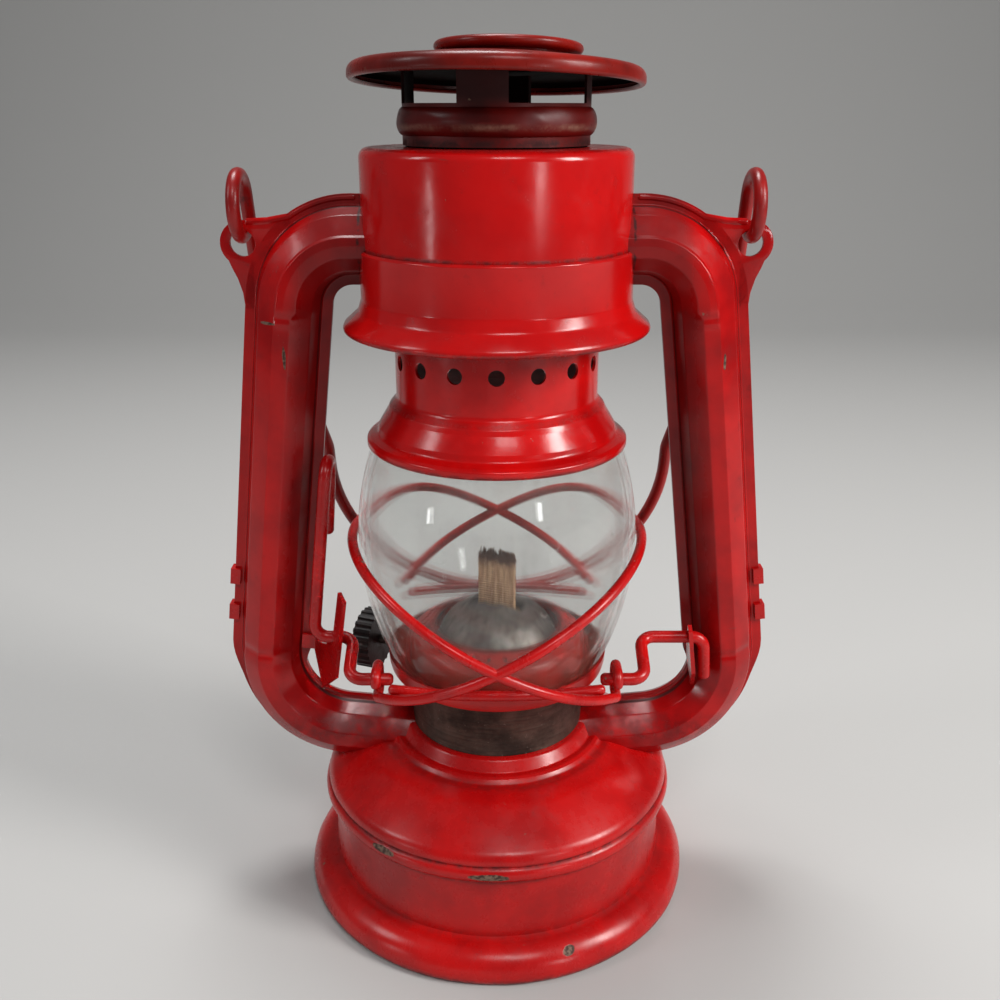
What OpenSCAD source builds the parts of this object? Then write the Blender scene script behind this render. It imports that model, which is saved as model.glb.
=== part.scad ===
// Hurricane lantern: pressed sheet frame, lifting globe, sprung chimney, wick burner and swinging bail.
// Millimetres. Z is up, the front is -Y, and the origin is the middle of the foot on the table.

/* [Tank] */
// Outside diameter of the rolled foot
foot_d = 122.6; // [118:0.2:130]
// Height of the rolled foot
foot_h = 10.4; // [8:0.2:13]
// Diameter of the tank wall
wall_d = 106; // [102:0.5:110]
// Height of the bead that runs round the wall
bead_z = 33.6; // [28:0.2:40]
// How far the bead stands out of the wall
bead_out = 2.4; // [1:0.1:3]
// Height of the shoulder over the bead
shoulder_up = 5; // [4:0.2:8]
// Rise of the dome from the shoulder to the flat top
dome_h = 16.2; // [13:0.2:20]
// Diameter of the ring pressed into the dome
dome_ring_d = 65.2; // [62:0.2:70]
// Thickness of the pressed sheet
sheet = 0.8; // [0.6:0.05:1]

/* [Filler] */
// Distance of the filler behind the lantern's axis
filler_back = 43.5; // [42:0.5:45]
// Outside diameter of the filler neck
filler_d = 14; // [11:0.2:16]
// Height of the cap's skirt
cap_h = 6.4; // [5:0.2:9]

/* [Burner] */
// Diameter of the bare metal collar under the globe
collar_d = 53.6; // [50:0.2:56]
// Height of the collar
collar_h = 18.4; // [16:0.2:22]
// Diameter of the burner's cone
cone_d = 37; // [32:0.5:39]
// Height of the cone over the collar
cone_h = 21; // [18:0.5:24]
// Width of the flat wick
wick_w = 11.5; // [9:0.5:13]
// Thickness of the wick
wick_t = 2; // [1.5:0.1:2.6]
// How far the wick stands above the cone
wick_show = 14; // [8:0.5:16]
// Diameter of the thumb wheel
knob_d = 20; // [16:0.5:22]
// Thickness of the thumb wheel
knob_t = 6; // [4:0.5:7]
// Distance of the thumb wheel from the axis
knob_out = 46.5; // [45:0.5:48]
// Angle of the spindle behind the left side
spindle_turn = 20; // [15:1:30]

/* [Globe] */
// Largest diameter of the glass
globe_d = 83; // [78:0.5:86]
// Height of the glass
globe_h = 76.4; // [70:0.2:84]
// Diameter of the glass at its foot
globe_foot_d = 60; // [58:0.5:61]
// Diameter of the glass at its mouth
globe_mouth_d = 66.6; // [65:0.2:69]
// Thickness of the glass
glass_t = 2; // [1.5:0.1:2.6]
// Gap between the plate's rim and the glass
plate_gap = 0.2; // [0.15:0.05:0.5]

/* [Guard and lift] */
// Diameter of the guard wire
guard_wire = 3; // [2.4:0.1:3.4]
// Diameter of the crank wire
crank_wire = 3.7; // [3:0.1:4]
// Tilt of the two guard hoops
guard_tilt = 27.5; // [25:0.5:30]
// Height of the hoops' centre over the glass's foot
guard_up = 20.2; // [19:0.2:22]
// Length of the crank arm from axle to pin
crank_arm = 16; // [14:0.5:17]
// Half of the lever's swing
half_swing = 22.5; // [18:0.5:24]
// Length of the lever over its axle
lever_h = 54; // [40:1:58]
// Distance of the axle in front of the tubes' seam
axle_fwd = 12; // [11.5:0.5:13]

/* [Side tubes] */
// Width of the tube without its flanges
tube_w = 18.4; // [16:0.2:19.6]
// Depth of the tube from front to back
tube_deep = 22; // [20:0.5:24]
// Width of the seam flange along the leg
flange = 3; // [2.4:0.1:3.2]
// Width of the seam flange round the boot
boot_flange = 1.2; // [1:0.1:1.6]
// Lean of the leg
lean = 6.75; // [5.5:0.25:8]
// Radius of the top bend
top_bend = 18; // [16.5:0.5:19]
// Radius of the boot bend
boot_bend = 26; // [24:0.5:28]
// Fall of the boot towards the collar
boot_fall = 6; // [4:0.5:8]
// Gap from the guard hoops to the tubes' inner edge
leg_gap = 8.7; // [8:0.1:11]

/* [Air chamber] */
// Diameter of the upper drum
chamber_d = 73.6; // [71:0.2:76]
// Height of the upper drum over the seam
upper_h = 26.3; // [24:0.5:30]
// Height of the lower drum under the seam
lower_h = 22.2; // [20:0.5:24]
// Diameter of the flared lip
lip_d = 86; // [83:0.5:90]
// Height of the tubes' top over the glass
tube_over_globe = 52; // [50:0.5:56]

/* [Chimney] */
// Diameter of the flue
flue_d = 48; // [45:0.5:50]
// Diameter of the perforated collar
perf_d = 57.8; // [56:0.2:60]
// Gap between the seat's flange and the glass
seat_gap = 0.5; // [0.3:0.1:1]
// Diameter of the air holes
hole_d = 4.4; // [3:0.1:5]
// Number of air holes
hole_count = 16; // [12:2:20]
// Diameter of the hood's brim
hood_d = 78; // [72:0.5:84]
// Height of the windows in the neck
window_h = 10; // [8:0.5:12]
// Width of the windows
window_w = 25; // [20:0.5:28]
// Diameter of the crown's rolled ring
crown_d = 39; // [34:0.5:44]
// Turn of the neck's four posts
post_turn = -8; // [-20:1:20]

/* [Bail] */
// Diameter of the bail wire
bail_wire = 3.8; // [3:0.1:4.2]
// Mean radius of the eye
eye_r = 8.2; // [7.8:0.1:8.6]
// Drop of the bail from its axle
bail_drop = 146; // [135:1:148]
// Half width of the bail's grip
grip_half = 55; // [50:1:58]
// Lean of the bail at rest
bail_lean = 17.2; // [15:0.2:18]
// Thickness of each ear is one sheet; this is the hole's radius
ear_hole_r = 4.3; // [4:0.1:4.6]

/* [Clearances] */
// Gap between sheets that are seamed together
fit = 0.15; // [0.1:0.05:0.25]
// Gap between pieces that move past each other
slack = 0.4; // [0.3:0.05:0.5]
// Radial gap of a running pin
run = 0.08; // [0.05:0.01:0.1]

/* [Hidden] */
$fn = 96;
red = "firebrick";
dark_red = "maroon";
bare = "dimgray";

// Tank levels and radii
foot_r = foot_d / 2;
wall_r = wall_d / 2;
foot_roll = 2.5;
foot_rest = 1.6;
bead_half = 2.6;
wall_dish = 0.5;
shoulder_r = wall_r + 1.4;
shoulder_z = bead_z + shoulder_up;
shoulder_round = 3;
tank_top = shoulder_z + dome_h;
ring_r = dome_ring_d / 2;
ring_bump = 1.2;
ring_z = tank_top - 4;
collar_r = collar_d / 2;
collar_wall = 1;
collar_top = tank_top + collar_h;
burner_hole_r = collar_r - 7.5;
pan_z = foot_h + 1;
pan_rim = 4;

// Filler levels, read off the dome where the neck stands
filler_r = filler_d / 2;
filler_wall = 1.2;
cap_wall = 1.2;
cap_r = filler_r + slack + cap_wall;
cap_z = ring_z + ring_bump + slack;
gasket_t = 1;
filler_top = cap_z + cap_h - gasket_t;
cap_grips = 18;

// Burner levels
cone_r = cone_d / 2;
cone_top = collar_top + cone_h;
cone_slot = 6;
spur_r = 4;
spindle_r = 1.5;
spindle_z = collar_top - 3.4;
spindle_back = wick_t / 2 + slack + spur_r;
wick_top = cone_top + wick_show;
wick_bottom = pan_z + 15;
tube_wall = 0.7;
knob_grooves = 24;

// Globe levels
plate_z = collar_top + 0.3;
plate_rim = 5;
dish_h = 12;
globe_r = globe_d / 2;
globe_foot = plate_z + sheet + fit;
globe_top = globe_foot + globe_h;
globe_foot_r = globe_foot_d / 2;
globe_mouth_r = globe_mouth_d / 2;
plate_r = glass_at(plate_z + plate_rim) + plate_gap + sheet - 0.4;

// Guard hoops, and the crank that lifts them
guard_z = globe_foot + guard_up;
guard_r = (globe_r + guard_wire / 2 + 0.3) / cos(guard_tilt);
pin_fwd = axle_fwd + crank_arm * cos(half_swing);
pin_sway = crank_arm * (1 - cos(half_swing));
wire_bend = 2.4;
hair = 0.05;
eye_front = pin_fwd + pin_sway + crank_wire / 2 + slack + guard_wire / 2;
eye_rear = pin_fwd - crank_wire / 2 - slack - guard_wire / 2;
eye_lead = 4;
hoop_open = asin((eye_front + 0.8) / guard_r);
hoop_end = [guard_r * cos(hoop_open) * cos(guard_tilt), -guard_r * sin(hoop_open),
    guard_z - guard_r * cos(hoop_open) * sin(guard_tilt)];
hoop_way = [sin(hoop_open) * cos(guard_tilt), cos(hoop_open), -sin(hoop_open) * sin(guard_tilt)];
eye_start = hoop_end + eye_lead * hoop_way;
eye_x = eye_start[0];
eye_low = eye_start[2];
pin_slack = 1;
pin_z = eye_low + guard_wire / 2 + pin_slack + crank_wire / 2;
eye_high = pin_z + crank_wire / 2 + slack + guard_wire / 2;
axle_z = pin_z + crank_arm * sin(half_swing);
arm_x = eye_x + 8.5;
base_z = hoop_end[2] + guard_wire + fit;

// Side tubes: the leg's middle line passes leg_x at the axle's height
half_w = tube_w / 2;
leg_x = guard_r + leg_gap + half_w + flange;
tube_top = globe_top + tube_over_globe;
leg_from = tube_top - top_bend + top_bend * sin(lean);
top_x = leg_at(leg_from) - top_bend * cos(lean);
boot_from = axle_z - 8;
boot_c = [leg_at(boot_from) - boot_bend * cos(lean), boot_from - boot_bend * sin(lean)];
boot_end = boot_c + boot_bend * [sin(boot_fall), -cos(boot_fall)];
clip_up = [2, 14];
clip_len = 5;

// Air chamber levels
chamber_r = chamber_d / 2;
seam_z = tube_top - 2;
chamber_z = seam_z + upper_h;
skirt_r = chamber_r + sheet + fit;
lip_r = lip_d / 2;
lip_z = seam_z - lower_h;
flare_h = 5;
duct_r = 7;

// Chimney levels
flue_r = flue_d / 2;
perf_r = perf_d / 2;
seat_z = globe_top - 5.4;
seat_r = glass_at(seat_z) + seat_gap + sheet;
perf_top = lip_z + 3;
hole_z = (perf_top + globe_top) / 2 + 4.5;
neck_z = chamber_z + slack;
neck_r = flue_r + fit + sheet;
sill_z = neck_z + 10.4;
hood_r = hood_d / 2;
brim_z = sill_z + 6;
crown_r = crown_d / 2;
hood_top = brim_z + 6.6;
spring_r = flue_r + 2.4;
spring_wire = 1.6;
spring_turns = 7;

// Bail
bail_r = bail_wire / 2;
ear_x = leg_x - (tube_top - 5 - axle_z) * tan(lean) + half_w + flange + 1;
bail_axle_z = tube_top - 1 + eye_r + 1.8;
ear_z = bail_axle_z - eye_r - 1.8;
stem_end = 22;
stem_bend = 14;
eye_turn = 290;

function leg_at(z) = leg_x - (z - axle_z) * tan(lean);
function dome_at(r) = shoulder_z + (ring_z - shoulder_z) * (shoulder_r - r) / (shoulder_r - ring_r);

// Points of an arc about c, from angle a to angle b
function arc(c, rx, ry, a, b, n = 6) =
    [for (i = [0:n]) c + [rx * cos(a + (b - a) * i / n), ry * sin(a + (b - a) * i / n)]];

// A path made into a sheet: the same path moved to its left, joined into one outline
function unit(v) = v / norm(v);
function left_of(v) = [-v[1], v[0]];
function before(p, i) = unit(i > 0 ? p[i] - p[i - 1] : p[1] - p[0]);
function after(p, i) = unit(i < len(p) - 1 ? p[i + 1] - p[i] : p[i] - p[i - 1]);
function moved(p, i, t) =
    let (a = left_of(before(p, i)), n = unit(a + left_of(after(p, i))))
    p[i] + n * t / max(0.5, n * a);
function grown(p, t) = [for (i = [0:len(p) - 1]) moved(p, i, t)];
function outline(p, t) =
    let (q = grown(p, t))
    concat(p, [for (i = [len(q) - 1:-1:0]) q[i]]);

module spun(path, t = sheet) {
    rotate_extrude() polygon([for (p = outline(path, t)) [max(0, p[0]), p[1]]]);
}

// A straight wire between two points
module rod(a, b, d) {
    v = b - a;
    translate(a)
        rotate([0, acos(v[2] / norm(v)), atan2(v[1], v[0])])
            cylinder(d = d, h = norm(v));
}

// A wire bent at the inner points of a route, each bend an arc of radius r.
// Bends are a hair thinner than the straights, which reach a hair into them.
function way_in(p, i) = unit(p[i] - p[i - 1]);
function way_out(p, i) = unit(p[i + 1] - p[i]);
function bend_turn(p, i) = acos(way_in(p, i) * way_out(p, i));
function bend_cut(p, i, r) = r * tan(bend_turn(p, i) / 2);

module bent_wire(p, d, r) {
    last = len(p) - 1;
    for (i = [0:last - 1]) {
        from = i == 0 ? p[0] : p[i] + way_out(p, i) * bend_cut(p, i, r);
        to = i == last - 1 ? p[last] : p[i + 1] - way_in(p, i + 1) * bend_cut(p, i + 1, r);
        rod(from - unit(to - from) * hair, to + unit(to - from) * hair, d);
    }
    for (i = [1:last - 1]) elbow(p[i] - way_in(p, i) * bend_cut(p, i, r), way_in(p, i), way_out(p, i), d, r);
}

module elbow(start, a, b, d, r) {
    inward = unit(b - a * (a * b));
    centre = start + inward * r;
    n = cross(-inward, a);
    multmatrix([[-inward[0], a[0], n[0], centre[0]], [-inward[1], a[1], n[1], centre[1]],
        [-inward[2], a[2], n[2], centre[2]], [0, 0, 0, 1]])
        hoop(r, d, acos(a * b));
}

module hoop(r, d, turn = 360) {
    rotate_extrude(angle = turn) translate([r, 0]) circle(d = d - hair);
}

// Tank: the wall and the dome are two pressings that meet over the bead
function wall_path() = concat(
    [[foot_r - foot_roll - foot_rest, 0]],
    arc([foot_r - foot_roll, foot_roll], foot_roll, foot_roll, -90, 0, 4),
    arc([wall_r, foot_roll], foot_r - wall_r, foot_h - foot_roll, 12, 90, 7),
    [[wall_r - wall_dish, (foot_h + bead_z) / 2]],
    arc([wall_r, bead_z], bead_out, bead_half, -90, 60, 6));

function dome_path() = concat(
    [[shoulder_r, bead_z + bead_half * sin(60) + fit]],
    arc([shoulder_r - shoulder_round, shoulder_z - shoulder_round / 2], shoulder_round, shoulder_round,
        0, 60, 4),
    [[ring_r + 2 * ring_bump, dome_at(ring_r + 2 * ring_bump)]],
    arc([ring_r, ring_z - 0.3], ring_bump, ring_bump, 20, 160, 5),
    [[collar_r + 1.2, tank_top], [burner_hole_r, tank_top]]);

// The room that the tank takes under the tubes' boots
module tank_room(gap) {
    rotate_extrude() polygon([[0, foot_h], [shoulder_r + 2, foot_h], [shoulder_r + 2, shoulder_z - 2],
        [shoulder_r, shoulder_z + 1 + gap], [ring_r + ring_bump, ring_z + ring_bump + gap],
        [collar_r + 1.6, tank_top + gap], [0, tank_top + gap]]);
}

module tank_shell() {
    color(red) spun(wall_path());
}

module tank_dome() {
    color(red) difference() {
        spun(dome_path());
        translate([0, filler_back, foot_h]) cylinder(r = filler_r + fit, h = collar_top);
    }
}

module tank_bottom() {
    pan_r = wall_r - wall_dish - sheet - fit;
    color(bare) spun([[0, pan_z], [pan_r, pan_z], [pan_r, pan_z + pan_rim]]);
}

module filler_neck() {
    low = dome_at(filler_back + filler_r) - 4;
    color(bare) translate([0, filler_back, 0]) difference() {
        translate([0, 0, low]) cylinder(r = filler_r, h = filler_top - low);
        translate([0, 0, low - 1]) cylinder(r = filler_r - filler_wall, h = filler_top);
    }
}

module filler_cap() {
    under = filler_top + gasket_t + 2 * fit;
    color(red) translate([0, filler_back, 0]) difference() {
        translate([0, 0, cap_z]) cylinder(r = cap_r, h = under + cap_wall - cap_z);
        translate([0, 0, cap_z - 1]) cylinder(r = filler_r + slack, h = under + 1 - cap_z);
        for (i = [1:cap_grips])
            rotate(i * 360 / cap_grips) translate([cap_r + 0.25, 0, cap_z - 1]) cylinder(r = 0.6, h = 20);
    }
}

module cap_gasket() {
    color("black") translate([0, filler_back, filler_top + fit]) difference() {
        cylinder(r = filler_r, h = gasket_t);
        translate([0, 0, -1]) cylinder(r = filler_r - 2.5, h = gasket_t + 2);
    }
}

// Burner: its own frame has the spindle along -X
module burner_turn() {
    rotate(-spindle_turn) children();
}

module spindle_hole(r) {
    burner_turn() translate([-knob_out, spindle_back, spindle_z]) rotate([0, 90, 0])
        cylinder(r = r, h = knob_out);
}

module burner_collar() {
    color(bare) difference() {
        spun([[collar_r, tank_top], [collar_r, collar_top - 1.2], [collar_r + 0.4, collar_top - 0.6],
            [collar_r, collar_top]], collar_wall);
        spindle_hole(spindle_r + run);
        for (side = [0, 180])
            rotate(side) translate([collar_r - 4, -5, tank_top + 0.8]) cube([8, 10, 3]);
    }
}

module burner_base() {
    base_r = collar_r - collar_wall - fit;
    low = tank_top - 8;
    plate_t = 12;
    around = slack + tube_wall + fit;
    color(bare) difference() {
        union() {
            translate([0, 0, low]) cylinder(r = burner_hole_r - fit, h = collar_top - low);
            translate([0, 0, collar_top - plate_t]) cylinder(r = base_r, h = plate_t);
        }
        translate([0, 0, low - 1]) cylinder(r = cone_r - 4, h = collar_h - plate_t + 12);
        spindle_hole(spindle_r + run);
        burner_turn() translate([-wick_w / 2 - around, -wick_t / 2 - around, low])
            cube([wick_w + 2 * around, wick_t / 2 + around + spindle_back + spur_r + slack, 60]);
    }
}

module burner_cone() {
    color(bare) difference() {
        spun(concat([[cone_r, collar_top]],
            arc([0, cone_top - cone_r * 0.72], cone_r, cone_r * 0.72, 0, 78, 8)), sheet);
        burner_turn() translate([-wick_w / 2 - 3, -cone_slot / 2, collar_top + 4])
            cube([wick_w + 6, cone_slot, cone_h]);
    }
}

module wick_tube() {
    inside_w = wick_w + 2 * slack;
    inside_t = wick_t + 2 * slack;
    low = tank_top - 12;
    high = cone_top - 3;
    color("peru") burner_turn() difference() {
        translate([-inside_w / 2 - tube_wall, -inside_t / 2 - tube_wall, low])
            cube([inside_w + 2 * tube_wall, inside_t + 2 * tube_wall, high - low]);
        translate([-inside_w / 2, -inside_t / 2, low - 1]) cube([inside_w, inside_t, high - low + 2]);
        translate([-inside_w / 2, wick_t / 2, spindle_z - spur_r - 1])
            cube([inside_w, 8, 2 * spur_r + 2]);
    }
}

module wick() {
    color("tan") burner_turn() translate([-wick_w / 2, -wick_t / 2, wick_bottom])
        cube([wick_w, wick_t, wick_top - wick_bottom]);
}

module wick_spindle() {
    color("silver") burner_turn() translate([-knob_out - knob_t / 2, spindle_back, spindle_z])
        rotate([0, 90, 0]) cylinder(r = spindle_r, h = knob_out + knob_t / 2 + wick_w / 2 + 0.5);
}

module wick_spurs() {
    wheel_t = 1.6;
    teeth = 10;
    color("peru") burner_turn() for (x = [-wick_w / 4, wick_w / 4])
        translate([x - wheel_t / 2, spindle_back, spindle_z]) rotate([0, 90, 0]) difference() {
            cylinder(r = spur_r, h = wheel_t);
            translate([0, 0, -1]) cylinder(r = spindle_r + run, h = wheel_t + 2);
            for (i = [1:teeth])
                rotate(i * 360 / teeth) translate([spur_r + 0.3, 0, -1]) cylinder(r = 0.9, h = wheel_t + 2);
        }
}

module wick_knob() {
    color("black") burner_turn() translate([-knob_out, spindle_back, spindle_z]) rotate([0, 90, 0])
        difference() {
            translate([0, 0, -knob_t / 2]) cylinder(d = knob_d, h = knob_t);
            translate([0, 0, -knob_t]) cylinder(r = spindle_r + run, h = 2 * knob_t);
            for (i = [1:knob_grooves])
                rotate(i * 360 / knob_grooves) translate([knob_d / 2 + 0.3, 0, -knob_t])
                    cylinder(r = 0.9, h = 2 * knob_t);
        }
}

// Side tubes. Their plane has x out, y up and z towards the front.
module tube_plane() {
    rotate([90, 0, 0]) children();
}

// Inner face of one pressed half, from the inner seam to the outer seam
function half_section(lip) = [[-half_w - lip, 0], [-half_w + sheet, 0],
    [-half_w + 1.4 + sheet, tube_deep * 0.28], [-half_w * 0.52, tube_deep / 2 - sheet],
    [half_w * 0.52, tube_deep / 2 - sheet], [half_w - 1.4 - sheet, tube_deep * 0.28],
    [half_w - sheet, 0], [half_w + lip, 0]];

module section(lip, at = 0, thin = 0) {
    translate([at, 0]) polygon(outline(grown(half_section(lip - thin), thin / 2), sheet - thin));
}

module straight(from, turn, length, lip) {
    translate(from) rotate([90, 0, 90 + turn]) translate([0, 0, -hair]) linear_extrude(length + 2 * hair)
        section(lip);
}

module bend(centre, r, from, to, lip) {
    translate(centre) rotate(from) rotate_extrude(angle = to - from) section(lip, r, hair);
}

module ear() {
    lap = 1.5;
    edge = leg_at(ear_z - 16) + half_w + flange;
    difference() {
        union() {
            translate([ear_x, ear_z]) circle(r = ear_hole_r + 3.4);
            polygon([[ear_x + ear_hole_r + 3.2, ear_z - 1.5], [edge + 1.5, ear_z - 13], [edge - lap, ear_z - 17],
                [edge - lap - 1, ear_z - 6], [ear_x - 12, ear_z + 2], [ear_x - 12, ear_z + 10.4],
                [ear_x - 2, ear_z + ear_hole_r + 3.1]]);
        }
        translate([ear_x, ear_z]) circle(r = ear_hole_r);
        translate([top_x, tube_top - top_bend]) circle(r = top_bend + half_w + lap);
    }
}

module tube_half() {
    leg_start = [top_x, tube_top - top_bend] + top_bend * [cos(lean), sin(lean)];
    leg_stop = boot_c + boot_bend * [cos(lean), sin(lean)];
    difference() {
        union() {
            straight([chamber_r * 0.6, tube_top, 0], 0, top_x - chamber_r * 0.6, flange);
            bend([top_x, tube_top - top_bend, 0], top_bend, lean, 90, flange);
            straight([leg_start[0], leg_start[1], 0], lean - 90, norm(leg_start - leg_stop), flange);
            bend([boot_c[0], boot_c[1], 0], boot_bend, boot_fall - 90, lean, boot_flange);
            straight([boot_end[0], boot_end[1], 0], 180 + boot_fall, boot_end[0], boot_flange);
            linear_extrude(sheet) ear();
        }
        rotate([-90, 0, 0]) {
            tank_room(fit);
            translate([0, 0, foot_h]) cylinder(r = collar_r + 0.4 + fit, h = collar_top);
            translate([0, 0, lip_z]) cylinder(r = skirt_r + fit, h = seam_z - lip_z);
            translate([0, 0, seam_z]) cylinder(r = chamber_r + fit, h = 2 * upper_h);
        }
    }
}

module right_tube_front() {
    color(red) tube_plane() tube_half();
}

module right_tube_rear() {
    color(red) mirror([0, 1, 0]) tube_plane() tube_half();
}

module left_tube_front() {
    color(red) mirror([1, 0, 0]) tube_plane() tube_half();
}

module left_tube_rear() {
    color(red) mirror([1, 0, 0]) mirror([0, 1, 0]) tube_plane() tube_half();
}

// A frame on the right leg at the axle's height: x out of the leg, y up along it, z to the front
module on_leg() {
    tube_plane() translate([leg_x, axle_z, 0]) rotate(lean) children();
}

module seam_clips() {
    hold = 1.2;
    color(red) for (side = [0, 1]) mirror([side, 0, 0]) on_leg() for (up = clip_up)
        translate([half_w + flange - 1.8, up, 0]) difference() {
            translate([0, -clip_len / 2, -sheet - hold]) cube([1.8 + hold, clip_len, 2 * (sheet + hold)]);
            translate([-1, -clip_len, -sheet - fit]) cube([2.8 + fit, 2 * clip_len, 2 * (sheet + fit)]);
        }
}

// Sheet bracket on the leg's inner flange. The crank's axle runs through it.
module bracket(inward, slant, tip) {
    plate_t = 1.2;
    reach = axle_fwd + 4.2;
    root = sheet + fit;
    edge = -half_w - flange + 0.3;
    function along(d) = (d - root - 0.3) / cos(slant);
    difference() {
        on_leg() {
            translate([edge - inward, -7.8, root]) cube([flange - 0.6 + inward, 4.6, plate_t]);
            translate([edge - inward + 0.4, 0, root + 0.3]) rotate([0, slant, 0]) rotate([0, -90, 0])
                translate([0, 0, -plate_t]) linear_extrude(plate_t)
                    polygon([[0, -8], [along(8.5), -17], [along(reach), -9], [along(reach + tip[0]), tip[1]],
                        [along(axle_fwd + 2), tip[1] + 1.4], [along(axle_fwd + 1), 4.8], [along(axle_fwd - 2.2), 1.4],
                        [along(axle_fwd - 2.8), -1.5], [along(4), -4], [0, -4]]);
        }
        axle(crank_wire / 2 + run, 100);
    }
}

module axle(r, length) {
    translate([0, -axle_fwd, axle_z]) rotate([0, 90, 0]) cylinder(r = r, h = length);
}

module right_bracket() {
    color(red) bracket(right_inward, right_slant, [0, 5]);
}

module left_bracket() {
    color(red) mirror([1, 0, 0]) bracket(left_inward, left_slant, [1.4, 17]);
}

right_inward = 0;
right_slant = -3;
left_inward = 3;
left_slant = -30;

// Air chamber
module ducts() {
    translate([-leg_x, 0, tube_top]) rotate([0, 90, 0]) cylinder(r = duct_r, h = 2 * leg_x);
}

module chamber_top() {
    corner = 3;
    color(red) difference() {
        spun(concat([[chamber_r, seam_z - 4]],
            arc([chamber_r - corner, chamber_z - corner], corner, corner, 0, 90, 5),
            [[flue_r + slack, chamber_z]]));
        ducts();
    }
}

module chamber_skirt() {
    color(red) difference() {
        spun([[lip_r, lip_z], [lip_r - 0.5, lip_z + 1.2], [skirt_r + 1.4, lip_z + flare_h],
            [skirt_r, lip_z + flare_h + 2.4], [skirt_r, seam_z]]);
        ducts();
    }
}

// Compression spring over the flue, from the perforated collar to the chamber's top
module chimney_spring() {
    low = perf_top + spring_wire / 2 + fit;
    high = chamber_z - sheet - spring_wire / 2 - fit;
    rings = 16 * spring_turns;
    sides = 6;
    points = [for (i = [0:rings], k = [0:sides - 1])
        let (a = 360 * spring_turns * i / rings, r = spring_r + spring_wire / 2 * cos(360 * k / sides))
        [r * cos(a), r * sin(a), low + (high - low) * i / rings + spring_wire / 2 * sin(360 * k / sides)]];
    skin = [for (i = [0:rings - 1], k = [0:sides - 1])
        let (a = i * sides + k, b = i * sides + (k + 1) % sides)
        each [[a, b, b + sides], [a, b + sides, a + sides]]];
    ends = [for (k = [1:sides - 2])
        each [[0, k + 1, k], [rings * sides, rings * sides + k, rings * sides + k + 1]]];
    color("silver") polyhedron(points, concat(skin, ends));
}

// Globe frame
module globe_plate() {
    dish_r = cone_r + slack;
    color(red) spun([[dish_r, plate_z + dish_h], [dish_r + 2, plate_z + dish_h], [globe_foot_r - 4.4, plate_z + dish_h - 2.4],
        [globe_foot_r - 3.6, plate_z + dish_h - 4], [globe_foot_r - 3.2, plate_z], [plate_r, plate_z],
        [plate_r + 0.4, plate_z + plate_rim]]);
}

function globe_path() = concat([[globe_foot_r, globe_foot]],
    [for (t = [0.08:0.084:0.92]) [globe_bulge(t), globe_foot + globe_h * t]],
    [[globe_mouth_r, globe_top]]);

// Barrel of the glass: a sine bulge over a line from foot to mouth
function globe_bulge(t) =
    let (base = globe_foot_r + (globe_mouth_r - globe_foot_r) * t)
    base + (globe_r - (globe_foot_r + globe_mouth_r) / 2) * pow(sin(180 * t), 0.72);

function glass_at(z) = globe_bulge((z - globe_foot) / globe_h);

module globe() {
    color("aliceblue", 0.4) spun(globe_path(), glass_t);
}

// One hoop of the guard. Its front end is bent into an eye round the crank's pin.
module guard_wire_one() {
    translate([0, 0, guard_z]) rotate([0, guard_tilt, 0])
        rotate(hoop_open) hoop(guard_r, guard_wire, 360 - 2 * hoop_open);
    bent_wire([hoop_end, eye_start, [eye_x, -eye_rear, eye_low], [eye_x, -eye_rear, eye_high],
        [eye_x, -eye_front, eye_high], [eye_x, -eye_front, eye_low + guard_wire + 1.2]], guard_wire, wire_bend);
}

module guard_hoop_right() {
    color(red) guard_wire_one();
}

module guard_hoop_left() {
    color(red) mirror([1, 0, 0]) guard_wire_one();
}

// Two wires that lie on the hoops' ends and run past the plate's rim, front and rear
module guard_base() {
    touch = max(plate_r + 0.4, glass_at(base_z + guard_wire / 2)) + guard_wire / 2 + fit;
    half = hoop_end[0] - 1.5;
    bow = touch + hoop_end[1];
    base_r = (half * half + bow * bow) / (2 * bow);
    sweep = 2 * asin(half / base_r);
    color(red) for (side = [0, 1]) mirror([0, side, 0])
        translate([0, base_r - touch, base_z]) rotate(-90 - sweep / 2) hoop(base_r, guard_wire, sweep);
}

// Lift: a lever on the left and a link on the right, each a bent wire
function crank_points(end_x) = [[end_x, -axle_fwd, axle_z], [arm_x, -axle_fwd, axle_z],
    [arm_x, -pin_fwd, pin_z], [eye_x - guard_wire - 1.5, -pin_fwd, pin_z]];

module lift_lever() {
    end_x = leg_x - half_w - flange - 2.4;
    back = 9;
    top_x = end_x - lever_h * tan(lean);
    top_z = axle_z + lever_h;
    color(red) mirror([1, 0, 0])
        bent_wire(concat([[top_x + 2, back - axle_fwd, top_z - 24], [top_x, back - axle_fwd, top_z],
            [top_x, -axle_fwd, top_z]], crank_points(end_x)), crank_wire, wire_bend);
}

module lift_link() {
    end_x = leg_x - half_w - flange + 4.8;
    color(red) bent_wire(concat([[end_x + 1, -axle_fwd, axle_z - 14]], crank_points(end_x)),
        crank_wire, wire_bend);
}

// Chimney
module perforated_collar() {
    color(red) difference() {
        spun([[seat_r - 0.1, seat_z], [seat_r, seat_z + 0.6], [seat_r, seat_z + 2.4], [seat_r - 0.8, seat_z + 3.4],
            [globe_mouth_r + 0.9, globe_top + 0.9], [globe_mouth_r, globe_top + 2.2],
            [perf_r + 2.6, globe_top + 5], [perf_r + 2, globe_top + 6.4], [perf_r, globe_top + 8.6],
            [perf_r, perf_top - 1.2], [perf_r - 1.2, perf_top], [flue_r + fit, perf_top]]);
        for (i = [0:hole_count - 1])
            rotate(i * 360 / hole_count) translate([perf_r - 3, 0, hole_z]) rotate([0, 90, 0])
                cylinder(d = hole_d, h = 6);
    }
}

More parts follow.
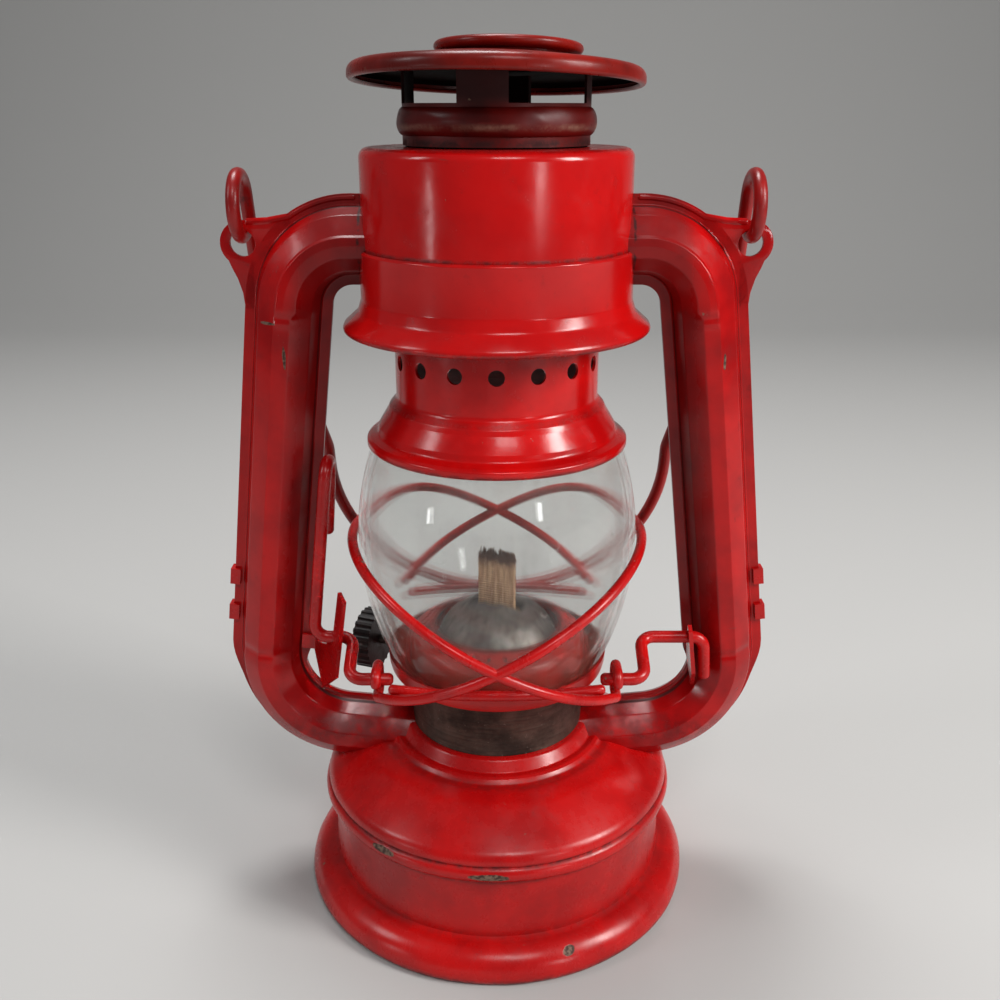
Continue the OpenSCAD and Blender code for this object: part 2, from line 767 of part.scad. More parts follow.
module flue_tube() {
    low = perf_top - 4;
    high = neck_z + 4;
    color(dark_red) difference() {
        translate([0, 0, low]) cylinder(r = flue_r, h = high - low);
        translate([0, 0, low - 1]) cylinder(r = flue_r - sheet, h = high - low + 2);
    }
}

module chimney_neck() {
    bulge = 1.6;
    top_z = hood_under(neck_r);
    color(dark_red) difference() {
        spun(concat([[neck_r, neck_z], [neck_r, neck_z + 2]],
            arc([neck_r, neck_z + 6], bulge, 3, -70, 70, 6),
            [[neck_r, sill_z], [neck_r, top_z]]));
        for (a = [45, 135])
            rotate(a + post_turn) translate([-hood_r, -window_w / 2, sill_z])
                cube([hood_d, window_w, window_h]);
    }
}

function hood_under(r) =
    let (slope = (hood_top - brim_z - 4.4) / (hood_r - 2.4 - crown_r + 3))
    brim_z + 4.4 + (hood_r - 2.4 - r - sheet) * slope - sheet - fit;

module hood() {
    color(dark_red) spun(concat([[hood_r - 1, brim_z], [hood_r, brim_z + 0.8]],
        arc([hood_r - 2.4, brim_z + 2], 2.4, 2.4, 0, 80, 4),
        [[crown_r - 3, hood_top], [0, hood_top]]));
}

module crown_ring() {
    roll = 1.3;
    neck = crown_r - 3.4;
    color(dark_red) spun(concat([[neck, hood_top], [neck, hood_top + 0.6], [crown_r - roll, hood_top + 0.9]],
        arc([crown_r - roll, hood_top + 0.9 + roll], roll, roll, -60, 100, 6),
        [[neck - 1, hood_top + 2.4], [0, hood_top + 2]]), sheet);
}

// Bail: drawn hanging straight down from its axle, then leant back
module bail_half() {
    grip_z = grip_half - bail_drop;
    translate([ear_x, 0, 0]) rotate([90, 0, 90]) hoop(eye_r, bail_wire, eye_turn);
    bent_wire([[ear_x, eye_r, 0], [ear_x, eye_r, -stem_end], [grip_half, eye_r, grip_z + 6],
        [grip_half, eye_r, grip_z]], bail_wire, stem_bend);
}

module bail() {
    color(red) translate([0, 0, bail_axle_z]) rotate([bail_lean, 0, 0]) {
        bail_half();
        mirror([1, 0, 0]) bail_half();
        translate([0, eye_r, grip_half - bail_drop]) rotate([90, 0, 0]) rotate(180)
            hoop(grip_half, bail_wire, 180);
    }
}

tank_shell();
tank_dome();
tank_bottom();
filler_neck();
filler_cap();
cap_gasket();
burner_collar();
burner_base();
burner_cone();
wick_tube();
wick();
wick_spindle();
wick_spurs();
wick_knob();
left_tube_front();
left_tube_rear();
right_tube_front();
right_tube_rear();
seam_clips();
left_bracket();
right_bracket();
chamber_top();
chamber_skirt();
chimney_spring();
globe_plate();
guard_hoop_left();
guard_hoop_right();
guard_base();
globe();
lift_lever();
lift_link();
perforated_collar();
flue_tube();
chimney_neck();
hood();
crown_ring();
bail();
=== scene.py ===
"""Hurricane lantern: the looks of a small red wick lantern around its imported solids."""
import math

import bmesh
import bpy
from mathutils import Matrix, Vector, noise


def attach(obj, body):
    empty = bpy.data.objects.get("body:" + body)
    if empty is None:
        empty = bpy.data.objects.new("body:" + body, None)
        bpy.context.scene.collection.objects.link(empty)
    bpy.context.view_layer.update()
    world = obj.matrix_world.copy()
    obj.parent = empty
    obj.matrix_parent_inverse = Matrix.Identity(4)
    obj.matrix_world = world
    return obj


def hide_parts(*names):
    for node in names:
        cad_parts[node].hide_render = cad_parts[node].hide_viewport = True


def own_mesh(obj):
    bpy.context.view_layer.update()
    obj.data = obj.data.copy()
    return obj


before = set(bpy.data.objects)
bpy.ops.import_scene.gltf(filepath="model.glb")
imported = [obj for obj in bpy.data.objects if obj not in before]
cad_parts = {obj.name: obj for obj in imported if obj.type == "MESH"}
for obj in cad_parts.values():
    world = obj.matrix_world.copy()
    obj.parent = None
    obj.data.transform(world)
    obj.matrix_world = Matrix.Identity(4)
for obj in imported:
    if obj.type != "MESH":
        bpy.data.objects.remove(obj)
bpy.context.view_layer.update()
MM = 0.001

# Sizes in millimetres, the same as the solids'
SHEET, EDGE = 0.8, 0.12
FOOT_R, WALL_R, BEAD_Z, SHOULDER_Z = 61.3, 53.0, 33.6, 38.6
TANK_TOP, RING_R, RING_Z = 54.8, 32.6, 50.8
COLLAR_R, COLLAR_TOP = 26.8, 73.2
WICK_TOP, SPINDLE_TURN = 108.2, 20.0
PLATE_R, PLATE_Z, DISH_IN, DISH_TOP = 33.47, 73.5, 18.9, 85.5
DISH_HOLES, DISH_HOLE_R, DISH_RING_R, DISH_HOLE_Z = 30, 0.8, 22.9, 84.0
GLOBE_FOOT, GLOBE_H, GLOBE_R, GLOBE_FOOT_R, GLOBE_MOUTH_R = 74.45, 76.4, 41.5, 30.0, 33.3
GLOBE_TOP, GLASS = GLOBE_FOOT + GLOBE_H, 2.0
GUARD_WIRE, CRANK_WIRE, BAIL_WIRE, WIRE_BEND, CRANK_BEND, STEM_BEND = 3.0, 3.7, 3.8, 2.4, 4.0, 14
EYE_GAP = 0.4
GUARD_TILT, GUARD_Z, REAR_RISE = math.radians(27.5), GLOBE_FOOT + 20.2, 10.5
GUARD_R = (GLOBE_R + GUARD_WIRE / 2 + 0.3) / math.cos(GUARD_TILT)
CRANK_ARM, HALF_SWING, AXLE_FWD, LEVER_H = 16.0, math.radians(22.5), 12.0, 54.0
LEAN, HALF_W, FLANGE, BOOT_FLANGE = math.radians(6.75), 9.2, 3.0, 1.2
TOP_BEND, BOOT_BEND, BOOT_FALL = 18.0, 26.0, math.radians(6)
TUBE_TOP, TUBE_DEEP, TONGUE_END, BOOT_START = GLOBE_TOP + 52, 22.0, 45.0, 148.0
CHAMBER_R, SEAM_Z, CHAMBER_Z = 36.8, TUBE_TOP - 2, TUBE_TOP + 24.3
TUBE_ZERO, TUBE_IN = CHAMBER_R * 0.72, CHAMBER_R * 0.9
SKIRT_R, LIP_R, LIP_Z = 37.75, 43.0, TUBE_TOP - 24.2
FLUE_R, PERF_R, PERF_TOP, SEAT_R, SEAT_Z = 24.0, 28.9, LIP_Z + 3, 37.68, GLOBE_TOP - 5.4
HOLE_Z, HOLE_R, HOLE_COUNT = (PERF_TOP + GLOBE_TOP) / 2 + 4.5, 2.2, 16
NECK_Z, NECK_R, SILL_Z, POST_TURN = CHAMBER_Z + 0.4, 24.95, CHAMBER_Z + 10.8, math.radians(-8)
BRIM_Z, HOOD_R, CROWN_R = SILL_Z + 6, 39.0, 19.5
HOOD_TOP = BRIM_Z + 6.6
HOOD_TILT, HOOD_ROLL, HOOD_DROP, CROWN_SHIFT = math.radians(3.5), math.radians(1.2), 1.35, 3.0
SPRING_R, SPRING_WIRE, SPRING_TURNS, SPRING_GIVE = FLUE_R + 2.4, 1.6, 3.5, 12.7
EAR_R, EAR_HOLE = 6.2, 3.5
EYE_R, BAIL_DROP, GRIP_HALF, BAIL_LEAN, STEM_END = 8.2, 146.0, 55.0, math.radians(17.2), 22.0

# Steps along a leg, a bend, a hoop, the globe and half the spring
LEG_STEPS, BEND_STEPS, HOOP_STEPS, GLOBE_STEPS, COIL_STEPS = 150, 24, 96, 48, 84

# The crank's pins, the guard's eyes and the legs follow from these
PIN_FWD = AXLE_FWD + CRANK_ARM * math.cos(HALF_SWING)
EYE_FRONT = PIN_FWD + CRANK_ARM * (1 - math.cos(HALF_SWING)) + CRANK_WIRE / 2 + EYE_GAP + GUARD_WIRE / 2
EYE_REAR = PIN_FWD - CRANK_WIRE / 2 - EYE_GAP - GUARD_WIRE / 2
HOOP_OPEN = math.asin((EYE_FRONT + 0.8) / GUARD_R)
HOOP_END = Vector((GUARD_R * math.cos(HOOP_OPEN) * math.cos(GUARD_TILT), -GUARD_R * math.sin(HOOP_OPEN),
                   GUARD_Z - GUARD_R * math.cos(HOOP_OPEN) * math.sin(GUARD_TILT)))
HOOP_WAY = Vector((math.sin(HOOP_OPEN) * math.cos(GUARD_TILT), math.cos(HOOP_OPEN),
                   -math.sin(HOOP_OPEN) * math.sin(GUARD_TILT)))
EYE_START = HOOP_END + 4 * HOOP_WAY
EYE_X, EYE_LOW = EYE_START.x, EYE_START.z
PIN_Z = EYE_LOW + GUARD_WIRE / 2 + 1 + CRANK_WIRE / 2
EYE_HIGH = PIN_Z + CRANK_WIRE / 2 + EYE_GAP + GUARD_WIRE / 2
AXLE_Z = PIN_Z + CRANK_ARM * math.sin(HALF_SWING)
ARM_X = EYE_X + 8.5
LEG_X = GUARD_R + 8.7 + HALF_W + FLANGE
EAR_X = LEG_X - (TUBE_TOP - 5 - AXLE_Z) * math.tan(LEAN) + HALF_W + FLANGE + 1
BAIL_Z = TUBE_TOP - 1 + EYE_R + 1.8
EAR_Z = BAIL_Z - EYE_R - 1.8


# Mesh helpers
def linked(name, data):
    """A new object in the scene."""
    obj = bpy.data.objects.new(name, data)
    bpy.context.scene.collection.objects.link(obj)
    return obj


def evaluated(obj):
    """The mesh that an object's curve or modifiers make."""
    return bpy.data.meshes.new_from_object(obj.evaluated_get(bpy.context.evaluated_depsgraph_get()))


def dress(mesh, material):
    """Gives a mesh its one material."""
    mesh.materials.clear()
    mesh.materials.append(material)


def piece(name, mesh, body, material, nodes=(), sharp=38):
    """A finished piece: shaded, dressed, riding on its body and standing for its solids."""
    obj = linked(name, mesh)
    dress(mesh, material)
    mesh.shade_smooth()
    mesh.set_sharp_from_angle(angle=math.radians(sharp))
    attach(obj, body)
    if nodes:
        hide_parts(*nodes)
    return obj


def mesh_of(name, bm, outward=True):
    """A clean mesh of a bmesh."""
    bmesh.ops.remove_doubles(bm, verts=bm.verts, dist=2e-6)
    bmesh.ops.dissolve_degenerate(bm, edges=bm.edges, dist=1e-6)
    if outward:
        bmesh.ops.recalc_face_normals(bm, faces=bm.faces)
    mesh = bpy.data.meshes.new(name)
    bm.to_mesh(mesh)
    bm.free()
    return mesh


def arc(cx, cz, rx, rz, a, b, n=12):
    """Points of an ellipse's arc, from angle a to b in degrees."""
    return [(cx + rx * math.cos(math.radians(a + (b - a) * i / n)),
             cz + rz * math.sin(math.radians(a + (b - a) * i / n))) for i in range(n + 1)]


def eased(points, n=5):
    """A flat path whose corners (x, z, r) are rounded to radius r."""
    out = []
    for i, p in enumerate(points):
        r = p[2] if len(p) > 2 else 0
        at = Vector(p[:2])
        if r <= 0 or i in (0, len(points) - 1):
            out.append(tuple(at))
            continue
        a, b = Vector(points[i - 1][:2]) - at, Vector(points[i + 1][:2]) - at
        half = a.angle(b) / 2
        run = min(r / math.tan(half), a.length * 0.48, b.length * 0.48)
        s, e = at + a.normalized() * run, at + b.normalized() * run
        for k in range(n + 1):
            t = k / n
            out.append(tuple(s * (1 - t) ** 2 + at * 2 * t * (1 - t) + e * t * t))
    return out


def sheet_of(path, t=SHEET):
    """A path made a closed outline of thickness t, on the path's left."""
    pts = [Vector(p) for p in path]
    moved = []
    for i, p in enumerate(pts):
        a = (p - pts[i - 1]).normalized() if i else (pts[1] - p).normalized()
        b = (pts[i + 1] - p).normalized() if i < len(pts) - 1 else a
        na, nb = Vector((-a.y, a.x)), Vector((-b.y, b.x))
        n = (na + nb).normalized()
        q = p + n * t / max(0.5, n.dot(na))
        moved.append(Vector((max(0, q.x), q.y)))
    return [tuple(p) for p in pts] + [tuple(p) for p in reversed(moved)]


def turned(outline, steps=144, squash=None):
    """A closed outline (r, z) turned about the lantern's axis. squash(angle, r, z) may move a point."""
    bm = bmesh.new()
    rings = []
    for r, z in outline:
        ring = []
        for k in range(steps):
            a = 2 * math.pi * k / steps
            rr, zz = squash(a, r, z) if squash else (r, z)
            ring.append(bm.verts.new((rr * math.cos(a) * MM, rr * math.sin(a) * MM, zz * MM)))
        rings.append(ring)
    for i in range(len(rings)):
        a, b = rings[i], rings[(i + 1) % len(rings)]
        for k in range(steps):
            bm.faces.new((a[k], a[(k + 1) % steps], b[(k + 1) % steps], b[k]))
    return bm


def bent(points, r, n=7):
    """A route of straight runs with each inner corner bent to radius r."""
    pts = [Vector(p) for p in points]
    out = [pts[0]]
    for i in range(1, len(pts) - 1):
        a, b = (pts[i] - pts[i - 1]).normalized(), (pts[i + 1] - pts[i]).normalized()
        turn = a.angle(b)
        start = pts[i] - a * r * math.tan(turn / 2)
        toward = (b - a * a.dot(b)).normalized()
        for k in range(n + 1):
            t = turn * k / n
            out.append(start + toward * r * (1 - math.cos(t)) + a * r * math.sin(t))
    return out + [pts[-1]]


def wire_into(bm, route, d, sides=18):
    """A round wire along a route, with softly rounded ends."""
    pts = [route[0]] + [p for q, p in zip(route, route[1:]) if (p - q).length > 1e-4]
    ways = []
    for i in range(len(pts)):
        a = pts[i] - pts[i - 1] if i else pts[1] - pts[0]
        b = pts[i + 1] - pts[i] if i < len(pts) - 1 else pts[i] - pts[i - 1]
        ways.append((a.normalized() + b.normalized()).normalized())
    side = ways[0].orthogonal().normalized()
    rings = []

    def ring(at, way, up, r):
        across = way.cross(up).normalized()
        rings.append([bm.verts.new((at + (up * math.cos(2 * math.pi * k / sides)
                                          + across * math.sin(2 * math.pi * k / sides)) * r) * MM)
                      for k in range(sides)])

    for i, (at, way) in enumerate(zip(pts, ways)):
        side = (side - way * side.dot(way)).normalized()
        if i == 0:
            for drop, size in ((0.0, 0.55), (0.12, 0.85)):
                ring(at + way * d * drop, way, side, d / 2 * size)
            ring(at + way * d * 0.3, way, side, d / 2)
        elif i == len(pts) - 1:
            ring(at - way * d * 0.3, way, side, d / 2)
            for drop, size in ((0.12, 0.85), (0.0, 0.55)):
                ring(at - way * d * drop, way, side, d / 2 * size)
        else:
            ring(at, way, side, d / 2)
    for a, b in zip(rings, rings[1:]):
        for k in range(sides):
            bm.faces.new((a[k], a[(k + 1) % sides], b[(k + 1) % sides], b[k]))
    bm.faces.new(list(reversed(rings[0])))
    bm.faces.new(rings[-1])


def mirrored(points):
    """The same route on the lantern's other side."""
    return [Vector((-p[0], p[1], p[2])) for p in points]


def plate_into(bm, outline, thick, place, holes=()):
    """A flat plate cut to an outline, with round holes, moved by a matrix."""
    edge = EDGE * MM
    curve = bpy.data.curves.new("cutting", "CURVE")
    curve.dimensions = "2D"
    curve.fill_mode = "BOTH"
    curve.extrude = thick / 2 * MM - edge
    curve.bevel_depth = edge
    curve.bevel_resolution = 1
    curve.offset = -edge
    for pts in [outline] + [arc(cx, cy, r, r, 0, 351, 39) for cx, cy, r in holes]:
        spline = curve.splines.new("POLY")
        spline.points.add(len(pts) - 1)
        for p, (x, y) in zip(spline.points, pts):
            p.co = (x * MM, y * MM, 0, 1)
        spline.use_cyclic_u = True
    obj = linked("cutting", curve)
    mesh = evaluated(obj)
    bpy.data.objects.remove(obj)
    bpy.data.curves.remove(curve)
    mesh.transform(place)
    bm.from_mesh(mesh)
    bpy.data.meshes.remove(mesh)


# Shader helpers
class Tone:
    """A value in a material: arithmetic on it adds the nodes."""

    def __init__(self, paint, socket):
        self.paint, self.socket = paint, socket

    def _maths(self, operation, *values):
        return self.paint.add("ShaderNodeMath", {"operation": operation}, dict(enumerate(values)))

    def __add__(self, other):
        return self._maths("ADD", self, other)

    def __radd__(self, other):
        return self._maths("ADD", other, self)

    def __sub__(self, other):
        return self._maths("SUBTRACT", self, other)

    def __rsub__(self, other):
        return self._maths("SUBTRACT", other, self)

    def __mul__(self, other):
        return self._maths("MULTIPLY", self, other)

    def __rmul__(self, other):
        return self._maths("MULTIPLY", other, self)

    def __truediv__(self, other):
        return self._maths("DIVIDE", self, other)

    def __abs__(self):
        return self._maths("ABSOLUTE", self)

    def most(self, other):
        return self._maths("MAXIMUM", self, other)

    def power(self, other):
        return self._maths("POWER", self, other)

    def above(self, low, high):
        """A smooth step from 0 at low to 1 at high."""
        return self.paint.add("ShaderNodeMapRange", {"interpolation_type": "SMOOTHSTEP"},
                              {0: self, 1: low, 2: high})


class Paint:
    """One material, built from its nodes."""

    def __init__(self, name):
        self.material = bpy.data.materials.new(name)
        self.material.use_nodes = True
        self.tree = self.material.node_tree
        self.tree.nodes.clear()
        self.out = self.tree.nodes.new("ShaderNodeOutputMaterial")
        self.place = self.add("ShaderNodeTexCoord", out="Object")
        self.x, self.y, self.z = self.parts(self.place)

    def add(self, kind, settings=None, values=None, out=0):
        """Any node, from its type, its settings and the values or links of its sockets."""
        node = self.tree.nodes.new(kind)
        for key, value in (settings or {}).items():
            setattr(node, key, value)
        for key, value in (values or {}).items():
            socket = node.inputs[key]
            if isinstance(value, Tone):
                self.tree.links.new(value.socket, socket)
            else:
                socket.default_value = value
        return Tone(self, node.outputs[out])

    def parts(self, vector):
        """The x, y and z of a vector."""
        split = self.add("ShaderNodeSeparateXYZ", None, {0: vector}).socket.node
        return [Tone(self, socket) for socket in split.outputs]

    def noise(self, scale, detail=4.0, rough=0.55, stretch=None, seed=0.0):
        at = self.place
        if stretch or seed:
            shift = (seed, seed * 0.7, seed * 1.3)
            at = self.add("ShaderNodeMapping", None,
                          {"Vector": at, "Location": shift, "Scale": stretch or (1, 1, 1)})
        return self.add("ShaderNodeTexNoise", None,
                        {"Vector": at, "Scale": scale, "Detail": detail, "Roughness": rough})

    def mix(self, factor, a, b):
        return self.add("ShaderNodeMix", {"data_type": "RGBA"}, {0: factor, 6: a, 7: b}, out=2)

    def bump(self, height, strength, distance):
        return self.add("ShaderNodeBump", None,
                        {"Height": height, "Strength": strength, "Distance": distance})

    def shader(self, **values):
        return self.add("ShaderNodeBsdfPrincipled", None,
                        {key.replace("_", " "): value for key, value in values.items()})

    def finish(self, shader):
        self.tree.links.new(shader.socket, self.out.inputs[0])
        return self.material


def rgb(r, g, b):
    """A colour as it is seen on screen, 0 to 255."""
    def lin(v):
        v /= 255
        return v / 12.92 if v <= 0.04045 else ((v + 0.055) / 1.055) ** 2.4
    return (lin(r), lin(g), lin(b), 1.0)


def near(p, height, width):
    """A soft band at a height in millimetres."""
    return 1 - abs(p.z - height * MM).above(0.0, width * MM)


def spot(p, at, size, ragged=0.5, seed=0.0):
    """A ragged patch round a place, both in millimetres."""
    far = 0.0
    for axis, middle, wide in zip((p.x, p.y, p.z), at, size):
        far = far + ((axis - middle * MM) / (wide * MM)).power(2.0)
    return 1 - (far + (p.noise(420, 5, 0.7, seed=seed) - 0.5) * 2 * ragged).above(0.75, 1.0)


def enamel(name, bright, deep, wear=0.5, grime=0.35, bands=(), gloss=0.17, stains_and_shade=None, chips=None, dust=None,
           shine=0.4):
    """Worn glossy enamel: uneven colour, grime, stains and painted shade passed in, chips down to dark metal,
    fine scratches and dents.
    """
    p = Paint(name)
    clouds = p.noise(38, 4, 0.6)
    blotch = p.noise(120, 5, 0.65, seed=3.1)
    speck = p.noise(900, 3, 0.6, seed=7.7)
    colour = p.mix(clouds.above(0.35, 0.7), bright, deep)
    colour = p.mix(blotch.above(0.54, 0.8) * (0.5 * grime + 0.1), colour, rgb(96, 5, 8))
    dirt = p.noise(210, 6, 0.72, seed=1.9).above(0.58, 0.76) * grime
    for height, width, strength in bands:
        patchy = p.noise(260, 4, 0.7, seed=height).above(0.3, 0.62)
        dirt = dirt.most(near(p, height, width) * strength * patchy)
    # Stains passed in; on the tubes, the chamber and the perforated collar they are painted shade.
    if stains_and_shade:
        dirt = dirt.most(stains_and_shade(p))
    colour = p.mix(dirt, colour, rgb(40, 9, 9))
    upright = (p.noise(420, 2, 0.5, stretch=(1, 1, 0.06), seed=5.3).above(0.7, 0.76)
               * p.noise(60, 2, 0.5, seed=9.2).above(0.54, 0.7))
    level = (p.noise(520, 2, 0.5, stretch=(0.05, 0.4, 1), seed=2.2).above(0.71, 0.77)
             * p.noise(45, 2, 0.5, seed=4.4).above(0.52, 0.68))
    lines = upright.most(level) * 0.5
    colour = p.mix(lines, colour, rgb(122, 44, 38))
    chip = p.noise(150, 7, 0.7, seed=11.0) * 0.7 + speck * 0.3
    chip = chip.above(0.667 - 0.02 * wear, 0.679 - 0.02 * wear) * min(1.0, wear * 1.4)
    if chips:
        chip = chip.most(chips(p))
    colour = p.mix(chip, colour, p.mix(speck.above(0.4, 0.6), rgb(64, 40, 32), rgb(122, 98, 82)))
    if dust:
        powder = dust(p)
        colour = p.mix(powder, colour, rgb(150, 112, 94))
        dirt = dirt.most(powder)
    rough = gloss + 0.14 * blotch.above(0.4, 0.8) + 0.35 * dirt + 0.35 * chip + 0.1 * lines
    ripple = p.noise(26, 3, 0.5, seed=8.0) + 0.1 * p.noise(330, 3, 0.5, seed=2.9)
    normal = p.bump(ripple - 0.25 * chip, 0.22, 0.0011)
    return p.finish(p.shader(Base_Color=colour, Roughness=rough, Metallic=0.2 * chip, Normal=normal, IOR=1.5,
                             Specular_IOR_Level=shine))


def bare_metal(name, pale, dark, soot=0.4, rough=0.42, around=True):
    """Bare sheet, darkened, with turning marks and stains."""
    p = Paint(name)
    stain = p.noise(70, 5, 0.65, seed=1.3)
    marks = p.noise(300, 3, 0.6, stretch=(0.25, 0.25, 4.0) if around else (1, 1, 1), seed=2.1)
    fleck = p.noise(700, 3, 0.6, seed=3.3)
    colour = p.mix(stain.above(0.35, 0.68), pale, dark)
    colour = p.mix(marks.above(0.45, 0.75) * 0.5, colour, rgb(40, 33, 29))
    rust = p.noise(130, 6, 0.7, seed=4.9).above(0.55, 0.72)
    colour = p.mix(rust * 0.55, colour, rgb(86, 54, 38))
    black = p.noise(55, 5, 0.7, seed=7.1).above(0.5, 0.75) * soot
    colour = p.mix(black, colour, rgb(20, 17, 16))
    colour = p.mix(fleck.above(0.66, 0.72) * 0.6, colour, rgb(150, 142, 132))
    return p.finish(p.shader(Base_Color=colour, Metallic=0.75 - 0.5 * (rust * 0.6 + black).above(0.0, 1.0),
                             Roughness=rough + 0.25 * stain.above(0.4, 0.8) + 0.2 * black,
                             Normal=p.bump(marks + 0.3 * fleck, 0.25, 0.0004)))


def globe_glass():
    """Clear old glass with a smoky film and dirt towards its foot and mouth."""
    p = Paint("globe_glass")
    film = p.noise(48, 5, 0.65, seed=1.0)
    foot = 1 - p.z.above(GLOBE_FOOT * MM, (GLOBE_FOOT + 36) * MM)
    mouth = p.z.above((GLOBE_TOP - 16) * MM, GLOBE_TOP * MM)
    streak = p.noise(160, 5, 0.7, stretch=(1, 1, 0.25), seed=2.7).above(0.48, 0.75)
    specks = p.noise(620, 3, 0.6, seed=5.1).above(0.69, 0.73)
    dirt = (0.035 + 0.06 * film.above(0.4, 0.8) + foot * (0.08 + 0.2 * streak)
            + mouth * (0.07 + 0.14 * streak) + specks * 0.14)
    clear = p.shader(Base_Color=(0.93, 0.955, 0.94, 1), Transmission_Weight=1.0, Roughness=0.015, IOR=1.03,
                     Alpha=0.6, Coat_Weight=1.0, Normal=p.bump(p.noise(20, 2, 0.5, seed=4.0), 0.06, 0.001))
    dust = p.shader(Base_Color=p.mix(foot, rgb(168, 152, 144), rgb(134, 98, 78)), Roughness=0.8)
    return p.finish(p.add("ShaderNodeMixShader", None, {0: dirt, 1: clear, 2: dust}))


def wick_cotton():
    """Woven cotton, tan, charred at its top edge."""
    p = Paint("wick_cotton")
    weave = p.add("ShaderNodeTexWave", {"bands_direction": "Z"},
                  {"Vector": p.place, "Scale": 420.0, "Distortion": 1.5})
    warp = p.noise(900, 3, 0.6, stretch=(1, 1, 0.12), seed=1.2)
    colour = p.mix(warp.above(0.3, 0.7), rgb(232, 190, 146), rgb(182, 138, 98))
    colour = p.mix(weave * 0.3, colour, rgb(116, 82, 54))
    burnt = p.z + (p.noise(340, 4, 0.6, seed=6.0) - 0.5) * 0.006
    burnt = burnt.above((WICK_TOP - 4.0) * MM, (WICK_TOP - 0.4) * MM)
    colour = p.mix(burnt * 0.9, colour, rgb(66, 26, 18))
    return p.finish(p.shader(Base_Color=colour, Roughness=0.95,
                             Normal=p.bump(warp + weave * 0.4, 0.6, 0.0006)))


def plain(name, colour, dark, rough, shine=0.4):
    """A simple finish with grime and a little grain."""
    p = Paint(name)
    dirt = p.noise(300, 5, 0.65, seed=2.0)
    return p.finish(p.shader(Base_Color=p.mix(dirt.above(0.4, 0.7), colour, dark), Specular_IOR_Level=shine,
                             Roughness=rough + 0.25 * dirt.above(0.45, 0.75),
                             Normal=p.bump(p.noise(900, 3, 0.6, seed=4.0), 0.25, 0.0003)))


def tube_painted_shade(p):
    """Painted shade in the flange's crease, on the leg's inner side and in the slot where the tube enters the
    chamber.
    """
    crease = 1 - abs(abs(p.y) - 1.8 * MM).above(0.2 * MM, 0.95 * MM)
    inner = LEG_X * MM - (p.z - AXLE_Z * MM) * math.tan(LEAN) - abs(p.x)
    inner = inner.above(0.5 * MM, 7.0 * MM) * p.z.above(70 * MM, 80 * MM)
    mouth = (1 - abs(abs(p.x) - CHAMBER_R * MM).above(0.1 * MM, 1.0 * MM)) * p.z.above(190 * MM, 192 * MM)
    ragged = p.noise(170, 4, 0.7, seed=6.1)
    crease = crease * 0.9 * ragged.above(0.15, 0.45)
    mouth = mouth * 0.95 * ragged.above(0.3, 0.5)
    return crease.most(mouth).most(inner * 0.5)


def inward(p):
    """Marks the faces that look towards the lantern's axis, which get painted shade."""
    x, y, _ = p.parts(p.add("ShaderNodeTexCoord", out="Normal"))
    return 1 - (x * p.x + y * p.y).above(-0.004, -0.001)


def reach(p):
    """How far a place is from the lantern's axis."""
    return (p.x * p.x + p.y * p.y).power(0.5)


RED, DEEP = rgb(194, 11, 11), rgb(160, 6, 8)
tank_red = enamel("tank_enamel", RED, DEEP, wear=0.5, grime=0.3, gloss=0.25,
                  bands=((11.2, 2.0, 0.35), (22.0, 10.0, 0.12), (30.4, 1.4, 0.7), (36.2, 1.1, 0.85),
                         (1.2, 2.2, 0.7), (RING_Z - 0.8, 1.0, 0.4)),
                  chips=lambda p: spot(p, (-2, -55, BEAD_Z), (6.5, 6, 1.1), 0.7).most(
                      spot(p, (21, -57, 8), (2.0, 6, 1.2), 0.7, 2.0)).most(
                      spot(p, (-33, -44, BEAD_Z + 1), (4, 5, 1.0), 0.8, 5.0)))
# On the tubes the darkened crease, inner side and chamber slot are painted shade.
tube_red = enamel("tube_enamel", rgb(184, 10, 11), rgb(142, 5, 8), wear=0.55, grime=0.4, gloss=0.13,
                  shine=0.33, bands=((54, 9, 0.5),), stains_and_shade=tube_painted_shade,
                  chips=lambda p: spot(p, (-58.5, -10, 172), (0.5, 6, 3.6), 0.9).most(
                      spot(p, (-62.5, -9, 181.5), (2.6, 6, 0.45), 0.9, 3.0)).most(
                      spot(p, (63, -10, 171), (0.5, 6, 2.4), 0.9, 4.0)))
wire_red = enamel("wire_enamel", rgb(196, 14, 14), rgb(150, 8, 10), wear=0.95, grime=0.42, gloss=0.24)
bail_red = enamel("bail_enamel", rgb(166, 20, 18), rgb(118, 12, 12), wear=1.1, grime=0.6, gloss=0.3)
# The chamber's faces turned towards the axis get painted shade.
chamber_red = enamel("chamber_enamel", RED, rgb(176, 7, 9), wear=0.35, grime=0.22,
                     stains_and_shade=lambda p: inward(p) * 0.9,
                     bands=((SEAM_Z + 0.4, 0.9, 0.7), (LIP_Z + 0.4, 1.4, 0.6), (CHAMBER_Z - 0.2, 0.7, 0.5)))
# The collar's faces turned towards the axis get painted shade, so its holes look dark.
perf_red = enamel("perforated_enamel", rgb(206, 12, 12), rgb(170, 6, 8), wear=0.4, grime=0.25,
                  bands=((PERF_TOP, 10, 0.9), (SEAT_Z + 0.6, 1.0, 0.6), (GLOBE_TOP + 7, 1.4, 0.3)),
                  stains_and_shade=lambda p: inward(p) * 0.97)
plate_red = enamel("plate_enamel", rgb(204, 26, 22), rgb(166, 18, 16), wear=0.5, grime=0.4, gloss=0.3,
                   stains_and_shade=lambda p: (1 - (reach(p) + (p.noise(90, 5, 0.7, seed=3.0) - 0.5) * 0.006).above(
                       19.5 * MM, 22.5 * MM)) * 0.75)
hood_red = enamel("hood_enamel", rgb(136, 21, 12), rgb(86, 14, 9), wear=0.9, grime=0.6, gloss=0.27,
                  shine=0.25)
